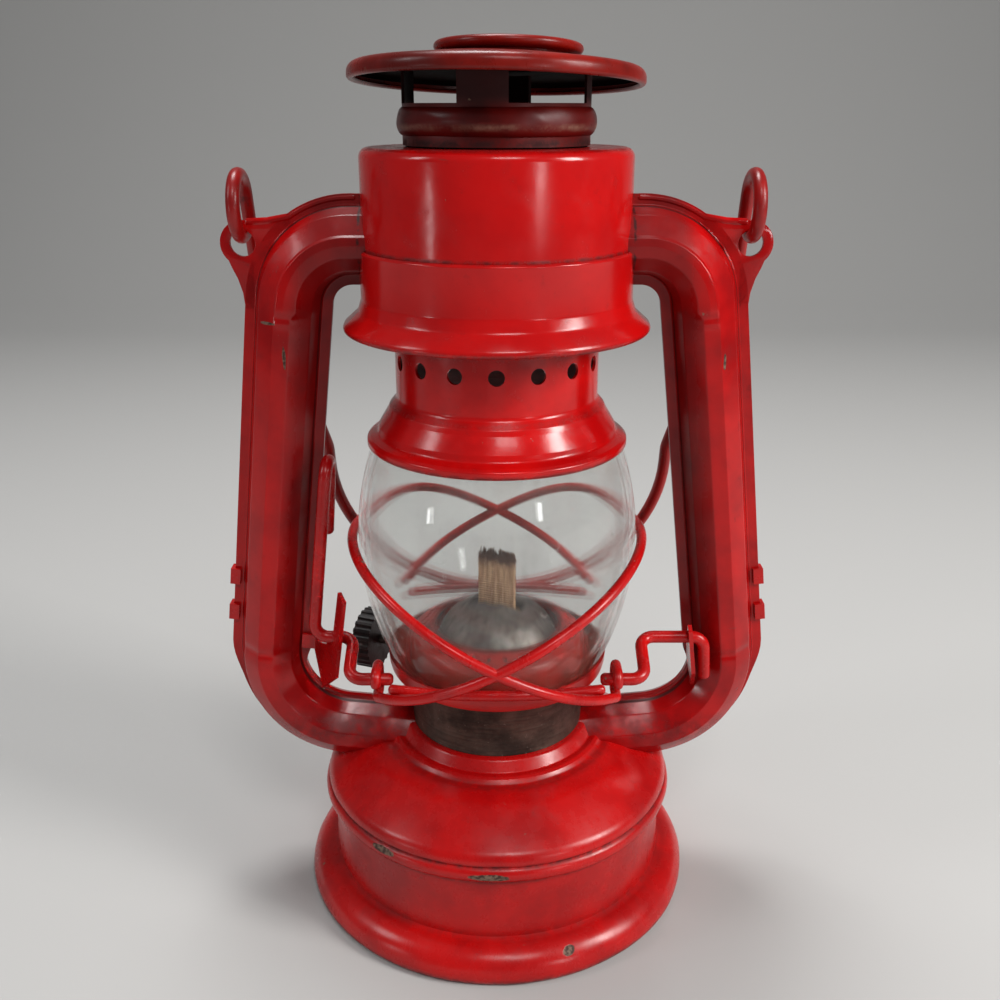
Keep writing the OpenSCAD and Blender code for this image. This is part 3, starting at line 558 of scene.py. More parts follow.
neck_red = enamel("neck_enamel", rgb(100, 13, 10), rgb(52, 9, 8), wear=0.8, grime=0.7, gloss=0.32, shine=0.25,
                  bands=((NECK_Z + 0.8, 2.0, 0.9),),
                  stains_and_shade=lambda p: p.z.above((SILL_Z - 1.5) * MM, (SILL_Z + 2) * MM) * 0.85,
                  dust=lambda p: near(p, NECK_Z + 4.6, 1.3)
                  * p.noise(70, 5, 0.75, seed=5.0).above(0.38, 0.66) * 0.7)
collar_metal = bare_metal("collar_metal", rgb(104, 92, 82), rgb(56, 46, 40), soot=0.45)
cone_metal = bare_metal("cone_metal", rgb(158, 152, 146), rgb(104, 98, 94), soot=0.4, rough=0.5, around=False)
pan_metal = bare_metal("pan_metal", rgb(110, 98, 88), rgb(64, 52, 44), soot=0.3, around=False)
brass = bare_metal("wick_brass", rgb(156, 122, 70), rgb(92, 68, 40), soot=0.4, around=False)
glass = globe_glass()
cotton = wick_cotton()
knob_black = plain("knob_black", rgb(26, 24, 24), rgb(46, 38, 36), 0.4)
rubber = plain("gasket_rubber", rgb(24, 24, 24), rgb(38, 36, 35), 0.75)
soot_black = plain("soot_black", rgb(13, 9, 8), rgb(26, 15, 13), 0.9, shine=0.1)


def sheet_piece(name, path, steps, body, material, nodes, thick=SHEET, sharp=38):
    """A piece of plain sheet, turned about the lantern's axis."""
    piece(name, mesh_of(name, turned(sheet_of(path, thick), steps)), body, material, nodes, sharp)


# Tank
def tank_path():
    """Outside of the tank from its foot to the collar, as (r, z)."""
    return ([(FOOT_R - 4.1, 0.0)] + arc(FOOT_R - 2.5, 2.5, 2.5, 2.5, -90, 0, 10)
            + arc(WALL_R, 2.5, FOOT_R - WALL_R, 7.9, 6, 82, 20)
            + eased([(WALL_R - 0.1, 11.0), (WALL_R - 0.5, 22.0, 60), (WALL_R - 0.1, BEAD_Z - 3.2)])
            + arc(WALL_R, BEAD_Z, 2.4, 2.6, -74, 66, 16)
            + arc(WALL_R + 1.4 - 4.6, SHOULDER_Z - 2.0, 4.6, 4.6, 4, 54, 10)
            + eased([(RING_R + 14.5, RING_Z - 6.4), (RING_R + 9.0, RING_Z - 2.9, 12),
                     (RING_R + 4.0, RING_Z - 1.1, 3), (RING_R + 1.9, RING_Z - 1.0, 1.2),
                     (RING_R + 0.9, RING_Z + 0.2, 0.8), (RING_R, RING_Z + 0.75, 0.8),
                     (RING_R - 1.2, RING_Z + 0.6, 1.0), (RING_R - 2.0, RING_Z + 0.4, 1.0),
                     (COLLAR_R + 1.6, TANK_TOP - 0.2, 1.5), (COLLAR_R - 2, TANK_TOP), (19.3, TANK_TOP)]))


def tank_dents(a, r, z):
    """Shallow dents in the foot and the bead."""
    p = Vector((math.cos(a) * 1.6, math.sin(a) * 1.6, z * 0.03))
    dent = noise.noise(p * 1.7) * 0.35 + noise.noise(p * 4.1 + Vector((7, 3, 1))) * 0.18
    return (r - max(0.0, dent) * min(1.0, max(0.0, (r - 30) / 20)), z) if z > 0.5 else (r, z)


tank = mesh_of("tank", turned(sheet_of(tank_path()), 192, tank_dents))
piece("tank", tank, "frame", tank_red, ["tank_shell", "tank_dome"])

# Collar
collar_path = eased([(COLLAR_R, TANK_TOP), (COLLAR_R, COLLAR_TOP - 3.2),
                     (COLLAR_R + 0.5, COLLAR_TOP - 2.4, 0.5), (COLLAR_R, COLLAR_TOP - 1.6, 0.5),
                     (COLLAR_R, COLLAR_TOP - 0.4), (COLLAR_R - 0.3, COLLAR_TOP)])
sheet_piece("collar", collar_path, 128, "frame", collar_metal, ["burner_collar"], 1.0)


# Side tubes
def leg_at(z):
    """The leg's middle line at a height."""
    return LEG_X - (z - AXLE_Z) * math.tan(LEAN)


def tube_line():
    """Points of the right tube's middle line, each with its outward normal."""
    top_z = TUBE_TOP - TOP_BEND
    top_x = leg_at(top_z + TOP_BEND * math.sin(LEAN)) - TOP_BEND * math.cos(LEAN)
    boot_z = AXLE_Z - 8
    boot_c = Vector((leg_at(boot_z) - BOOT_BEND * math.cos(LEAN), boot_z - BOOT_BEND * math.sin(LEAN)))
    out = []
    for i in range(7):
        out.append((Vector((TUBE_IN + (top_x - TUBE_IN) * i / 7, TUBE_TOP)), Vector((0, 1))))
    for i in range(BEND_STEPS + 1):
        a = math.pi / 2 + (LEAN - math.pi / 2) * i / BEND_STEPS
        n = Vector((math.cos(a), math.sin(a)))
        out.append((Vector((top_x, top_z)) + n * TOP_BEND, n))
    n = Vector((math.cos(LEAN), math.sin(LEAN)))
    high, low = out[-1][0], boot_c + n * BOOT_BEND
    for i in range(1, LEG_STEPS):
        out.append((high.lerp(low, i / LEG_STEPS), n))
    for i in range(BEND_STEPS + 1):
        a = LEAN + (BOOT_FALL - math.pi / 2 - LEAN) * i / BEND_STEPS
        n = Vector((math.cos(a), math.sin(a)))
        out.append((boot_c + n * BOOT_BEND, n))
    last, n = out[-1]
    way = Vector((-math.cos(BOOT_FALL), -math.sin(BOOT_FALL)))
    for i in range(1, 9):
        out.append((last + way * 24 * i / 8, n))
    return out


def tube_section(lip, bulge, bead, crease):
    """Outside of one pressed half: width across and depth, from the inner flange to the outer one."""
    d = TUBE_DEEP / 2 - crease
    up = bulge + bead
    return eased([(-HALF_W - lip, 0.03), (-HALF_W - lip, SHEET), (-HALF_W - 0.1, SHEET, 0.5),
                  (-7.2 - 0.3 * bulge, 7.0 + 0.3 * bulge - crease, 1.2),
                  (-2.2 - 1.4 * bulge, d + 0.6 * up, 1.1), (-0.4, d + up, 2.0), (1.7, d + 0.8 * up, 0.5),
                  (2.3, d - 0.1 * bulge, 0.5), (7.2, 7.0 - crease, 1.2),
                  (HALF_W + 0.1, SHEET, 0.5), (HALF_W + lip, SHEET), (HALF_W + lip, 0.03)], 4)


def ramp(value, low, high):
    """A smooth step from 0 to 1."""
    t = min(1.0, max(0.0, (value - low) / (high - low)))
    return t * t * (3 - 2 * t)


def tube_half(bm, side, face):
    """One pressed half. The elbow is deeper than the leg, and ends in a rounded tongue with a bead."""
    line = tube_line()
    run = TUBE_IN - TUBE_ZERO
    rings = []
    for i, (at, n) in enumerate(line):
        if i:
            run += (at - line[i - 1][0]).length
        lip = FLANGE + (BOOT_FLANGE - FLANGE) * ramp(run, BOOT_START, BOOT_START + 10)
        bulge = 1.0 - ramp(run, TONGUE_END - 3.5, TONGUE_END - 1)
        bead = 0.45 * math.exp(-((run - TONGUE_END) / 0.9) ** 2)
        crease = 0.75 * math.exp(-((run - BOOT_START + 0.5) / 1.5) ** 2)
        ring = []
        for w, depth in tube_section(lip, bulge, bead, crease):
            x, z = at.x + n.x * w, at.y + n.y * w
            wob = noise.noise(Vector((x * 0.05 + side * 3, depth * 0.1, z * 0.045 + face * 5)))
            wob = wob * 0.22 if depth > 3 else 0
            ring.append(bm.verts.new((side * x * MM, face * (depth + wob) * MM, z * MM)))
        rings.append(ring)
    count = len(rings[0])
    for a, b in zip(rings, rings[1:]):
        for k in range(count):
            bm.faces.new((a[k], a[(k + 1) % count], b[(k + 1) % count], b[k]))
    bm.faces.new(rings[0])
    bm.faces.new(rings[-1])


def folded_edge(side):
    """The rolled edge of the upper flange, from the chamber to the ear."""
    out = []
    for at, n in tube_line()[5:31]:
        q = at + n * (HALF_W + FLANGE - 1.0)
        if q.y > EAR_Z + 7.0:
            out.append(Vector((side * q.x, 0, q.y)))
    return out + [Vector((side * (EAR_X - 7), 0, EAR_Z + 5.9)), Vector((side * (EAR_X - 1), 0, EAR_Z + 5.6))]


def ear_into(bm, side, face):
    """One sheet of the bail's ear, which stands out of the tube's flange."""
    edge = leg_at(EAR_Z - 16) + HALF_W + FLANGE
    ring = arc(EAR_X, EAR_Z, EAR_R, EAR_R, -48, 104, 19)
    lower = [(EAR_X + 3.4, EAR_Z - 6.6), (edge + 1.6, EAR_Z - 9.6), (edge + 0.5, EAR_Z - 13.5),
             (edge + 0.1, EAR_Z - 18), (edge - 2.6, EAR_Z - 18), (edge - 3.2, EAR_Z - 6),
             (EAR_X - 13, EAR_Z + 4), (EAR_X - 14, EAR_Z + 7.4), (EAR_X - 8, EAR_Z + 6.2)]
    plate_into(bm, list(reversed(ring)) + lower, SHEET,
               Matrix.Scale(side, 4, Vector((1, 0, 0))) @ Matrix.Translation((0, face * SHEET / 2 * MM, 0))
               @ Matrix.Rotation(math.pi / 2, 4, "X"), [(EAR_X, EAR_Z, EAR_HOLE)])


for side, where in ((1, "right"), (-1, "left")):
    for face, half in ((-1, "front"), (1, "rear")):
        bm = bmesh.new()
        tube_half(bm, side, face)
        ear_into(bm, side, face)
        if half == "rear":
            wire_into(bm, folded_edge(side), 2.2, 12)
        piece(f"{where}_tube_{half}_skin", mesh_of(f"{where}_{half}", bm), "frame", tube_red,
              [f"{where}_tube_{half}"], 30)

# Air chamber
top_path = ([(CHAMBER_R, SEAM_Z - 4), (CHAMBER_R, SEAM_Z + 1.2)]
            + arc(CHAMBER_R - 2.6, CHAMBER_Z - 2.6, 2.6, 2.6, 0, 90, 10)
            + [(FLUE_R + 6, CHAMBER_Z - 0.2), (FLUE_R + 0.4, CHAMBER_Z)])
sheet_piece("chamber_drum", top_path, 160, "frame", chamber_red, ["chamber_top"])
skirt_path = (arc(LIP_R - 1.1, LIP_Z + 1.1, 1.1, 1.1, -150, 20, 8)
              + eased([(LIP_R - 0.4, LIP_Z + 2.2), (SKIRT_R + 1.0, LIP_Z + 5.6, 2.5),
                       (SKIRT_R, LIP_Z + 8.8, 2.5), (SKIRT_R, SEAM_Z - 1.2),
                       (SKIRT_R + 0.15, SEAM_Z - 0.5, 0.5), (SKIRT_R - 0.5, SEAM_Z + 0.1)]))
sheet_piece("chamber_skirt_skin", skirt_path, 160, "frame", chamber_red, ["chamber_skirt"])


# Geometry node trees
def node_tree(name, inputs):
    """An empty geometry tree with named inputs, and its two ends."""
    tree = bpy.data.node_groups.new(name, "GeometryNodeTree")
    tree.interface.new_socket("Geometry", in_out="INPUT", socket_type="NodeSocketGeometry")
    for label, kind, value in inputs:
        tree.interface.new_socket(label, in_out="INPUT", socket_type=kind).default_value = value
    tree.interface.new_socket("Geometry", in_out="OUTPUT", socket_type="NodeSocketGeometry")
    return tree, tree.nodes.new("NodeGroupInput"), tree.nodes.new("NodeGroupOutput")


def set_down(tree, instances, place):
    """Instances moved to a place and made real."""
    move, real = tree.nodes.new("GeometryNodeTransform"), tree.nodes.new("GeometryNodeRealizeInstances")
    tree.links.new(instances, move.inputs["Geometry"])
    tree.links.new(place, move.inputs["Translation"])
    tree.links.new(move.outputs[0], real.inputs[0])
    return real.outputs[0]


def closed(tree, made, material, end):
    """The tree, ended with what it made in its material."""
    coat = tree.nodes.new("GeometryNodeSetMaterial")
    coat.inputs["Material"].default_value = material
    tree.links.new(made, coat.inputs["Geometry"])
    tree.links.new(coat.outputs[0], end.inputs[0])
    return tree


def grown_mesh(name, mesh, tree, values):
    """The mesh that a node tree makes of a mesh, as a plain mesh."""
    obj = linked(name, mesh)
    mod = obj.modifiers.new("tree", "NODES")
    mod.node_group = tree
    for item in tree.interface.items_tree:
        if item.in_out == "INPUT" and item.name in values:
            mod[item.identifier] = values[item.name]
    result = evaluated(obj)
    obj.modifiers.clear()
    bpy.data.objects.remove(obj)
    result.name = name
    return result


def air_hole_tree(material):
    """Cuts a ring of round holes through a turned sheet."""
    tree, start, end = node_tree("air_holes", [
        ("Count", "NodeSocketInt", 16), ("Hole radius", "NodeSocketFloat", 0.002),
        ("Ring radius", "NodeSocketFloat", 0.03), ("Height", "NodeSocketFloat", 0.1),
        ("Upright", "NodeSocketBool", False)])
    n, link = tree.nodes, tree.links.new
    ring = n.new("GeometryNodeMeshCircle")
    link(start.outputs["Count"], ring.inputs["Vertices"])
    link(start.outputs["Ring radius"], ring.inputs["Radius"])
    drill = n.new("GeometryNodeMeshCylinder")
    drill.inputs["Vertices"].default_value = 32
    drill.inputs["Depth"].default_value = 0.007
    link(start.outputs["Hole radius"], drill.inputs["Radius"])
    where = n.new("GeometryNodeInputPosition")
    aim = n.new("FunctionNodeAlignRotationToVector")
    aim.axis = "Z"
    link(where.outputs[0], aim.inputs["Vector"])
    pick = n.new("GeometryNodeSwitch")
    pick.input_type = "ROTATION"
    link(start.outputs["Upright"], pick.inputs[0])
    link(aim.outputs[0], pick.inputs[1])
    spread = n.new("GeometryNodeInstanceOnPoints")
    link(ring.outputs["Mesh"], spread.inputs["Points"])
    link(drill.outputs["Mesh"], spread.inputs["Instance"])
    link(pick.outputs[0], spread.inputs["Rotation"])
    lift = n.new("ShaderNodeCombineXYZ")
    link(start.outputs["Height"], lift.inputs["Z"])
    cut = n.new("GeometryNodeMeshBoolean")
    cut.operation = "DIFFERENCE"
    cut.solver = "EXACT"
    link(start.outputs["Geometry"], cut.inputs["Mesh 1"])
    link(set_down(tree, spread.outputs[0], lift.outputs[0]), cut.inputs["Mesh 2"])
    return closed(tree, cut.outputs["Mesh"], material, end)


perf_path = eased([(SEAT_R - 0.7, SEAT_Z), (SEAT_R, SEAT_Z + 0.6, 0.6), (SEAT_R, SEAT_Z + 2.2, 0.7),
                   (SEAT_R - 1.0, SEAT_Z + 3.0, 0.7), (GLOBE_MOUTH_R + 1.4, SEAT_Z + 4.0, 1.5),
                   (GLOBE_MOUTH_R + 0.9, GLOBE_TOP + 0.4, 1.5), (GLOBE_MOUTH_R - 0.4, GLOBE_TOP + 2.6, 2.0),
                   (PERF_R + 2.6, GLOBE_TOP + 4.9, 1.5), (PERF_R + 2.0, GLOBE_TOP + 6.3, 1.0),
                   (PERF_R, GLOBE_TOP + 8.6, 2.0), (PERF_R, PERF_TOP - 1.2, 0.5),
                   (PERF_R - 1.2, PERF_TOP, 0.5), (FLUE_R + 0.15, PERF_TOP)])
perf = grown_mesh("perforated_skin", mesh_of("perforated_blank", turned(sheet_of(perf_path), 192)),
                  air_hole_tree(perf_red),
                  {"Count": HOLE_COUNT, "Hole radius": HOLE_R * MM, "Ring radius": PERF_R * MM,
                   "Height": HOLE_Z * MM})
piece("perforated_skin", perf, "chimney", perf_red, ["perforated_collar"])

# Neck, hood and crown
slope = (HOOD_TOP - BRIM_Z - 4.4) / (HOOD_R - 2.4 - CROWN_R + 3)
neck_top = BRIM_Z + 4.4 + (HOOD_R - 2.4 - NECK_R - SHEET) * slope - SHEET - 0.15
neck_path = ([(NECK_R, NECK_Z), (NECK_R, NECK_Z + 1.8)] + arc(NECK_R - 0.4, NECK_Z + 6, 2.0, 3.6, -78, 78, 14)
             + [(NECK_R, SILL_Z - 0.2), (NECK_R, SILL_Z + 0.4), (NECK_R, neck_top)])


def under_hood(a, r, z):
    """The posts end under the hood, which an old knock has bent up at the front."""
    if z > neck_top - 0.5:
        return r, z - HOOD_DROP - 0.6 - r * math.sin(a) * math.tan(HOOD_TILT)
    dent = noise.noise(Vector((math.cos(a) * 2.2, math.sin(a) * 2.2, z * 0.12)))
    dent = dent * ramp(z, NECK_Z + 1, NECK_Z + 4) * ramp(-z, -SILL_Z, 2 - SILL_Z)
    return r - max(0.0, dent) * 1.1, z + dent * 0.5


neck = mesh_of("neck", turned(sheet_of(neck_path), 192, under_hood))
cutter = bmesh.new()
for quarter in range(2):
    turn = Matrix.Rotation(math.radians(45 + 90 * quarter) + POST_TURN, 4, "Z")
    bmesh.ops.create_cube(cutter, size=1.0, matrix=Matrix.Translation((0, 0, (SILL_Z + 20) * MM)) @ turn
                          @ Matrix.Diagonal((90 * MM, 25 * MM, 40 * MM, 1)))
windows = linked("windows", mesh_of("windows", cutter))
blank = linked("neck_blank", neck)
cut = blank.modifiers.new("cut", "BOOLEAN")
cut.operation, cut.object, cut.solver = "DIFFERENCE", windows, "EXACT"
neck = evaluated(blank)
bpy.data.objects.remove(blank)
bpy.data.objects.remove(windows)
piece("neck", neck, "chimney", neck_red, ["chimney_neck"])
hood_bend = (Matrix.Translation((0, 0, (HOOD_TOP - 4 - HOOD_DROP) * MM)) @ Matrix.Rotation(-HOOD_TILT, 4, "X")
             @ Matrix.Rotation(HOOD_ROLL, 4, "Y") @ Matrix.Translation((0, 0, (4 - HOOD_TOP) * MM)))
hood_path = (arc(HOOD_R - 1.0, BRIM_Z + 1.0, 1.0, 1.0, -170, 0, 8)
             + arc(HOOD_R - 2.6, BRIM_Z + 1.8, 2.6, 2.6, 8, 82, 8)
             + eased([(HOOD_R - 8, HOOD_TOP - 1.6), (CROWN_R + 4, HOOD_TOP - 0.5, 4), (CROWN_R - 1, HOOD_TOP),
                      (0, HOOD_TOP)]))
hood = mesh_of("hood_skin", turned(sheet_of(hood_path), 160))
hood.transform(hood_bend)
piece("hood_skin", hood, "chimney", hood_red, ["hood"])
soot_path = list(reversed(sheet_of(hood_path, SHEET + 0.02)[len(hood_path):]))[9:]
lining = mesh_of("hood_soot", turned(sheet_of(soot_path, 0.12), 128))
lining.transform(hood_bend)
piece("hood_soot", lining, "chimney", soot_black)
crown_path = ([(CROWN_R - 3.4, HOOD_TOP - 0.1), (CROWN_R - 3.2, HOOD_TOP + 0.7)]
              + arc(CROWN_R - 1.3, HOOD_TOP + 2.2, 1.3, 1.25, -70, 100, 10)
              + eased([(CROWN_R - 3.0, HOOD_TOP + 3.1), (CROWN_R - 5.0, HOOD_TOP + 2.2, 1.2),
                       (CROWN_R - 7, HOOD_TOP + 1.9), (0, HOOD_TOP + 1.9)]))
crown = mesh_of("crown", turned(sheet_of(crown_path), 128))
crown.transform(hood_bend @ Matrix.Translation((CROWN_SHIFT * MM, 0, 0)))
piece("crown", crown, "chimney", hood_red, ["crown_ring"])

# Spring over the flue, in two halves: the upper half on the frame, the lower half on the globe frame
spring_low, spring_high = PERF_TOP + 0.95, CHAMBER_Z - SHEET - 0.95
spring_mid = (spring_low + spring_high) / 2
for name, body, joint, low, high, nodes in (
        ("spring_upper", "frame", "globe_rise", spring_mid, spring_high, ["chimney_spring"]),
        ("spring_lower", "globe_frame", "chimney_lift", spring_low, spring_mid, [])):
    bm = bmesh.new()
    coil = []
    for i in range(COIL_STEPS + 1):
        a = 2 * math.pi * SPRING_TURNS * (i / COIL_STEPS + (1 if nodes else 0))
        z = low + (high - low) * i / COIL_STEPS
        coil.append(Vector((SPRING_R * math.cos(a), SPRING_R * math.sin(a), z)))
    wire_into(bm, coil, SPRING_WIRE, 10)
    spring = piece(name, mesh_of(name, bm), body, collar_metal, nodes, 50)
    high * MM
    1 - SPRING_GIVE / (high - low)
    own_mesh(spring)


# Globe and its plate
def globe_at(t):
    """The glass's radius at a share t of its height."""
    base = GLOBE_FOOT_R + (GLOBE_MOUTH_R - GLOBE_FOOT_R) * t
    return base + (GLOBE_R - (GLOBE_FOOT_R + GLOBE_MOUTH_R) / 2) * math.sin(math.pi * t) ** 0.72


globe_path = [(globe_at(t / GLOBE_STEPS), GLOBE_FOOT + GLOBE_H * t / GLOBE_STEPS)
              for t in range(GLOBE_STEPS + 1)]
sheet_piece("globe_skin", globe_path, 160, "globe_frame", glass, ["globe"], GLASS, 60)
plate_path = eased([(DISH_IN, DISH_TOP), (DISH_IN + 2, DISH_TOP, 0.8), (25.6, DISH_TOP - 2.4, 1.5),
                    (26.4, DISH_TOP - 4, 1.5), (26.8, PLATE_Z, 1.5), (PLATE_R - 0.4, PLATE_Z, 1.2),
                    (PLATE_R + 0.2, PLATE_Z + 2.5, 1), (PLATE_R + 0.4, PLATE_Z + 5)])
plate = grown_mesh("globe_plate_skin", mesh_of("plate_blank", turned(sheet_of(plate_path), 144)),
                   air_hole_tree(plate_red),
                   {"Count": DISH_HOLES, "Hole radius": DISH_HOLE_R * MM, "Ring radius": DISH_RING_R * MM,
                    "Height": DISH_HOLE_Z * MM, "Upright": True})
piece("globe_plate_skin", plate, "globe_frame", plate_red, ["globe_plate"])


def fray_tree(material):
    """Loose burnt strands that stand on the wick's top edge."""
    tree, start, end = node_tree("wick_fray", [
        ("Count", "NodeSocketInt", 90), ("Length", "NodeSocketFloat", 0.002),
        ("Thickness", "NodeSocketFloat", 0.0001), ("Half size", "NodeSocketVector", (0.005, 0.0008, 0.0)),
        ("Place", "NodeSocketVector", (0, 0, 0.1)), ("Seed", "NodeSocketInt", 3)])
    n, link = tree.nodes, tree.links.new

    def chance(kind, low, high):
        node = n.new("FunctionNodeRandomValue")
        node.data_type = kind
        names = [s for s in node.inputs if s.enabled]
        for socket, value in zip(names, (low, high)):
            if hasattr(value, "is_output"):
                link(value, socket)
            else:
                socket.default_value = value
        link(start.outputs["Seed"], node.inputs["Seed"])
        return next(s for s in node.outputs if s.enabled)

    minus = n.new("ShaderNodeVectorMath")
    minus.operation = "SCALE"
    link(start.outputs["Half size"], minus.inputs[0])
    minus.inputs["Scale"].default_value = -1
    points = n.new("GeometryNodePoints")
    link(start.outputs["Count"], points.inputs["Count"])
    link(chance("FLOAT_VECTOR", minus.outputs[0], start.outputs["Half size"]), points.inputs["Position"])
    tip = n.new("ShaderNodeCombineXYZ")
    link(start.outputs["Length"], tip.inputs["Z"])
    strand = n.new("GeometryNodeCurvePrimitiveLine")
    strand.inputs["Start"].default_value = (0, 0, -0.0012)
    link(tip.outputs[0], strand.inputs["End"])
    section = n.new("GeometryNodeCurvePrimitiveCircle")
    section.inputs["Resolution"].default_value = 6
    link(start.outputs["Thickness"], section.inputs["Radius"])
    solid = n.new("GeometryNodeCurveToMesh")
    solid.inputs["Fill Caps"].default_value = True
    link(strand.outputs[0], solid.inputs["Curve"])
    link(section.outputs[0], solid.inputs["Profile Curve"])
    spread = n.new("GeometryNodeInstanceOnPoints")
    link(points.outputs[0], spread.inputs["Points"])
    link(solid.outputs[0], spread.inputs["Instance"])
    link(chance("FLOAT_VECTOR", (-0.5, -0.5, 0), (0.5, 0.5, 6.28)), spread.inputs["Rotation"])
    link(chance("FLOAT_VECTOR", (0.8, 0.8, 0.25), (1.6, 1.6, 1.25)), spread.inputs["Scale"])
    return closed(tree, set_down(tree, spread.outputs[0], start.outputs["Place"]), material, end)


fray = grown_mesh("wick_fray", bpy.data.meshes.new("fray_seed"), fray_tree(cotton),
                  {"Count": 130, "Length": 2.4 * MM, "Thickness": 0.13 * MM, "Seed": 11,
                   "Half size": (5.5 * MM, 0.85 * MM, 0.0), "Place": (0, 0, (WICK_TOP - 0.1) * MM)})
fray.transform(Matrix.Rotation(-math.radians(SPINDLE_TURN), 4, "Z"))
piece("wick_fray", fray, "wick_strip", cotton)


# Guard, lift and bail wires
def hoop_route():
    """One hoop with its eye. Its rear is bent up."""
    out = []
    for i in range(HOOP_STEPS + 1):
        a = HOOP_OPEN + (2 * math.pi - 2 * HOOP_OPEN) * i / HOOP_STEPS
        x = GUARD_R * math.cos(a)
        y = GUARD_R * math.sin(a)
        out.append(Vector((x * math.cos(GUARD_TILT), y,
                           GUARD_Z - x * math.sin(GUARD_TILT) + REAR_RISE * ramp(y, 10, GUARD_R))))
    eye = bent([HOOP_END, EYE_START, (EYE_X, -EYE_REAR, EYE_LOW), (EYE_X, -EYE_REAR, EYE_HIGH),
                (EYE_X, -EYE_FRONT, EYE_HIGH), (EYE_X, -EYE_FRONT, EYE_LOW + GUARD_WIRE + 1.2)], WIRE_BEND)
    return out + eye[1:]


def wire_piece(name, routes, d, body, node, material=wire_red):
    """A piece of one or more wires that stands for a node."""
    bm = bmesh.new()
    for route in routes:
        wire_into(bm, [Vector(p) for p in route], d)
    piece(name, mesh_of(name, bm), body, material, [node], 50)


wire_piece("guard_wire_right", [hoop_route()], GUARD_WIRE, "globe_frame", "guard_hoop_right")
wire_piece("guard_wire_left", [mirrored(hoop_route())], GUARD_WIRE, "globe_frame", "guard_hoop_left")
base_z = HOOP_END.z + GUARD_WIRE + 0.15
touch = max(PLATE_R + 0.4, globe_at((base_z + 1.5 - GLOBE_FOOT) / GLOBE_H)) + GUARD_WIRE / 2 + 0.15
half = HOOP_END.x - 1.5
bow = touch + HOOP_END.y
base = [(half * t / 12, -touch + bow * (t / 12) ** 2, base_z) for t in range(-12, 13)]
rear_base = [(x, -y, z) for x, y, z in base]
wire_piece("guard_base_wires", [base, rear_base], GUARD_WIRE, "globe_frame", "guard_base")


def crank(end_x):
    """Corners of a crank, from the axle's outer end to the pin."""
    return [(end_x, -AXLE_FWD, AXLE_Z), (ARM_X, -AXLE_FWD, AXLE_Z), (ARM_X, -PIN_FWD, PIN_Z),
            (EYE_X - GUARD_WIRE - 1.5, -PIN_FWD, PIN_Z)]


lever_x = LEG_X - HALF_W - FLANGE - 2.4
lever_top = Vector((lever_x - LEVER_H * math.tan(LEAN), -AXLE_FWD, AXLE_Z + LEVER_H))
hairpin = [lever_top + Vector((2, 9, -24)), lever_top + Vector((0, 9, 0)), lever_top]
lever = bent(hairpin + crank(lever_x), CRANK_BEND)
wire_piece("lever_wire", [mirrored(lever)], CRANK_WIRE, "lever", "lift_lever")
link_x = LEG_X - HALF_W - FLANGE + 4.8
hook = bent([(link_x + 1, -AXLE_FWD, AXLE_Z - 14)] + crank(link_x), CRANK_BEND)
wire_piece("link_wire", [hook], CRANK_WIRE, "link", "lift_link")


def bail_route():
    """The bail from its right eye over the grip to its left eye, at rest behind the tubes."""
    lean = Matrix.Translation((0, 0, BAIL_Z)) @ Matrix.Rotation(BAIL_LEAN, 4, "X")
    grip_z = GRIP_HALF - BAIL_DROP
    eye = [Vector((EAR_X, y, z)) for y, z in arc(0, 0, EYE_R, EYE_R, 290, 10, 28)]
    stem = bent([(EAR_X, EYE_R, 0), (EAR_X, EYE_R, -STEM_END), (GRIP_HALF, EYE_R, grip_z + 6),
                 (GRIP_HALF, EYE_R, grip_z)], STEM_BEND)
    grip = [Vector((x, EYE_R, z)) for x, z in arc(0, grip_z, GRIP_HALF, -GRIP_HALF, 4, 88, 21)]
    right = eye + stem + grip
    return [lean @ p for p in right] + [lean @ Vector((-p.x, p.y, p.z)) for p in reversed(right)]


wire_piece("bail_wire_skin", [bail_route()], BAIL_WIRE, "bail_wire", "bail", bail_red)

# Finishes of the solids that stay as they are
dressed = {"tank_bottom": pan_metal, "filler_neck": collar_metal, "filler_cap": tank_red,
           "cap_gasket": rubber, "burner_base": collar_metal, "burner_cone": cone_metal,
           "wick_tube": brass, "wick": cotton, "wick_spindle": collar_metal, "wick_spurs": brass,
           "wick_knob": knob_black, "seam_clips": wire_red, "left_bracket": wire_red,
           "right_bracket": wire_red, "flue_tube": soot_black}
for node, material in dressed.items():
    dress(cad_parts[node].data, material)

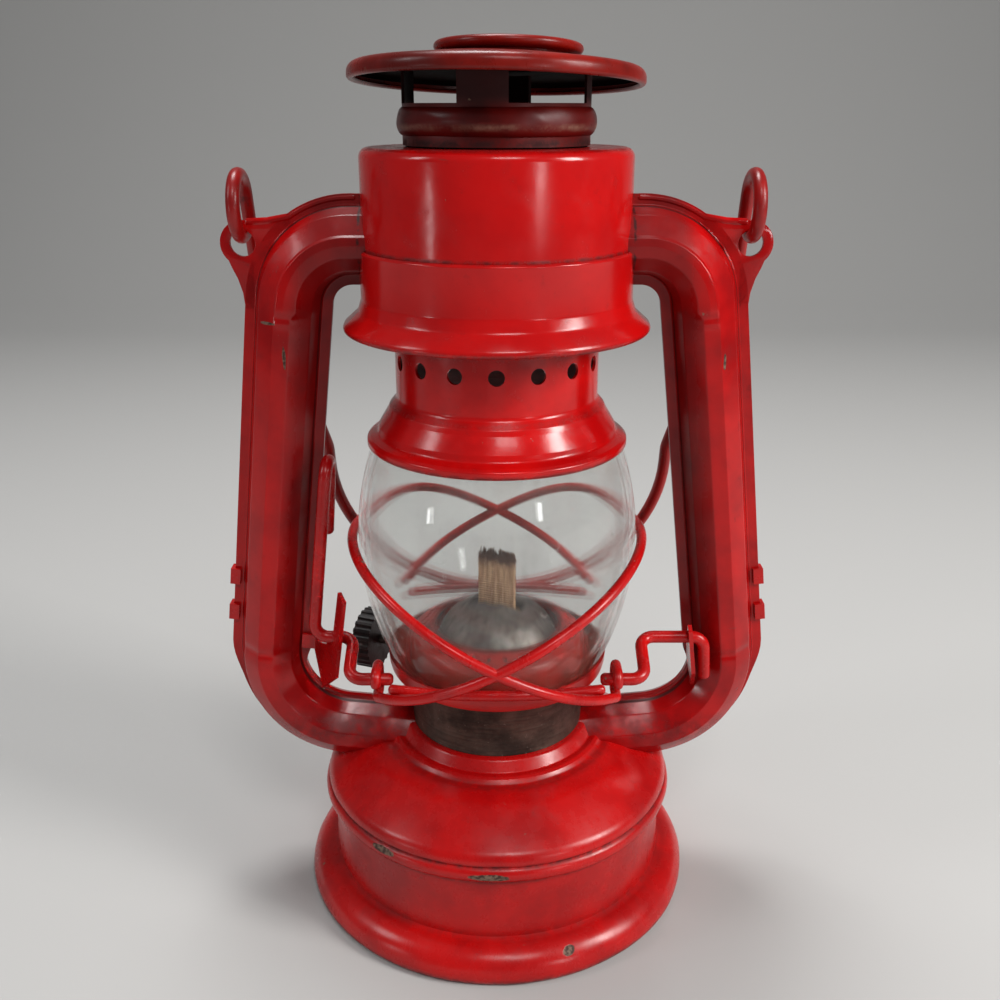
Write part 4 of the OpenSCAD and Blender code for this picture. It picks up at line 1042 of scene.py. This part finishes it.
# Floor and light
floor = bpy.data.materials.new("floor_grey")
floor.use_nodes = True
floor.node_tree.nodes["Principled BSDF"].inputs["Base Color"].default_value = rgb(182, 181, 179)
floor.node_tree.nodes["Principled BSDF"].inputs["Roughness"].default_value = 0.9
bm = bmesh.new()
profile = [(-1.6, 0.0)] + arc(0.9, 0.6, 0.6, 0.6, -90, 0, 9) + [(1.5, 2.2)]
rows = [[bm.verts.new((x, y, z)) for x in (-3.0, 3.0)] for y, z in profile]
for a, b in zip(rows, rows[1:]):
    bm.faces.new((a[0], a[1], b[1], b[0]))
sweep = linked("floor", mesh_of("floor", bm, False))
dress(sweep.data, floor)
sweep.data.shade_smooth()

world = bpy.data.worlds.new("studio")
bpy.context.scene.world = world
world.use_nodes = True
world.node_tree.nodes["Background"].inputs[0].default_value = (0.93, 0.96, 1.0, 1)
world.node_tree.nodes["Background"].inputs[1].default_value = 0.15
LAMP_AIM = Vector((0, 0, 0.12))


def lamp(name, at, size, power, colour=(1, 1, 1)):
    """A soft rectangular lamp aimed at the lantern."""
    data = bpy.data.lights.new(name, "AREA")
    data.shape = "RECTANGLE"
    data.size, data.size_y = size
    data.energy, data.color = power, colour
    obj = linked(name, data)
    obj.location = at
    obj.rotation_euler = (LAMP_AIM - Vector(at)).to_track_quat("-Z", "Y").to_euler()
    obj.visible_camera = False


lamp("window_right", (0.95, -0.42, 0.7), (0.28, 0.45), 11.5, (1.0, 0.985, 0.965))
lamp("window_front", (0.15, -0.75, 1.05), (0.35, 0.25), 3.4)
lamp("window_left", (-0.95, -0.3, 0.8), (0.2, 0.4), 2.3, (0.97, 0.985, 1.0))
lamp("glint_right", (0.6, -0.86, 0.24), (0.07, 0.14), 0.7)
lamp("glint_left", (-0.8, -0.56, 0.15), (0.05, 0.1), 0.32)
lamp("ceiling", (-0.1, 0.25, 1.1), (0.4, 0.3), 7.5)

# The camera that was fitted to the photo
camera = bpy.data.cameras.new("camera")
camera.sensor_width, camera.lens, camera.clip_start = 36, 38.41, 0.01
view = linked("camera", camera)
view.location = (0.00091, -0.2999, 0.2367)
view.rotation_euler = (math.radians(69.84), 0, 0)
bpy.context.scene.camera = view
bpy.context.scene.view_settings.view_transform = "Standard"
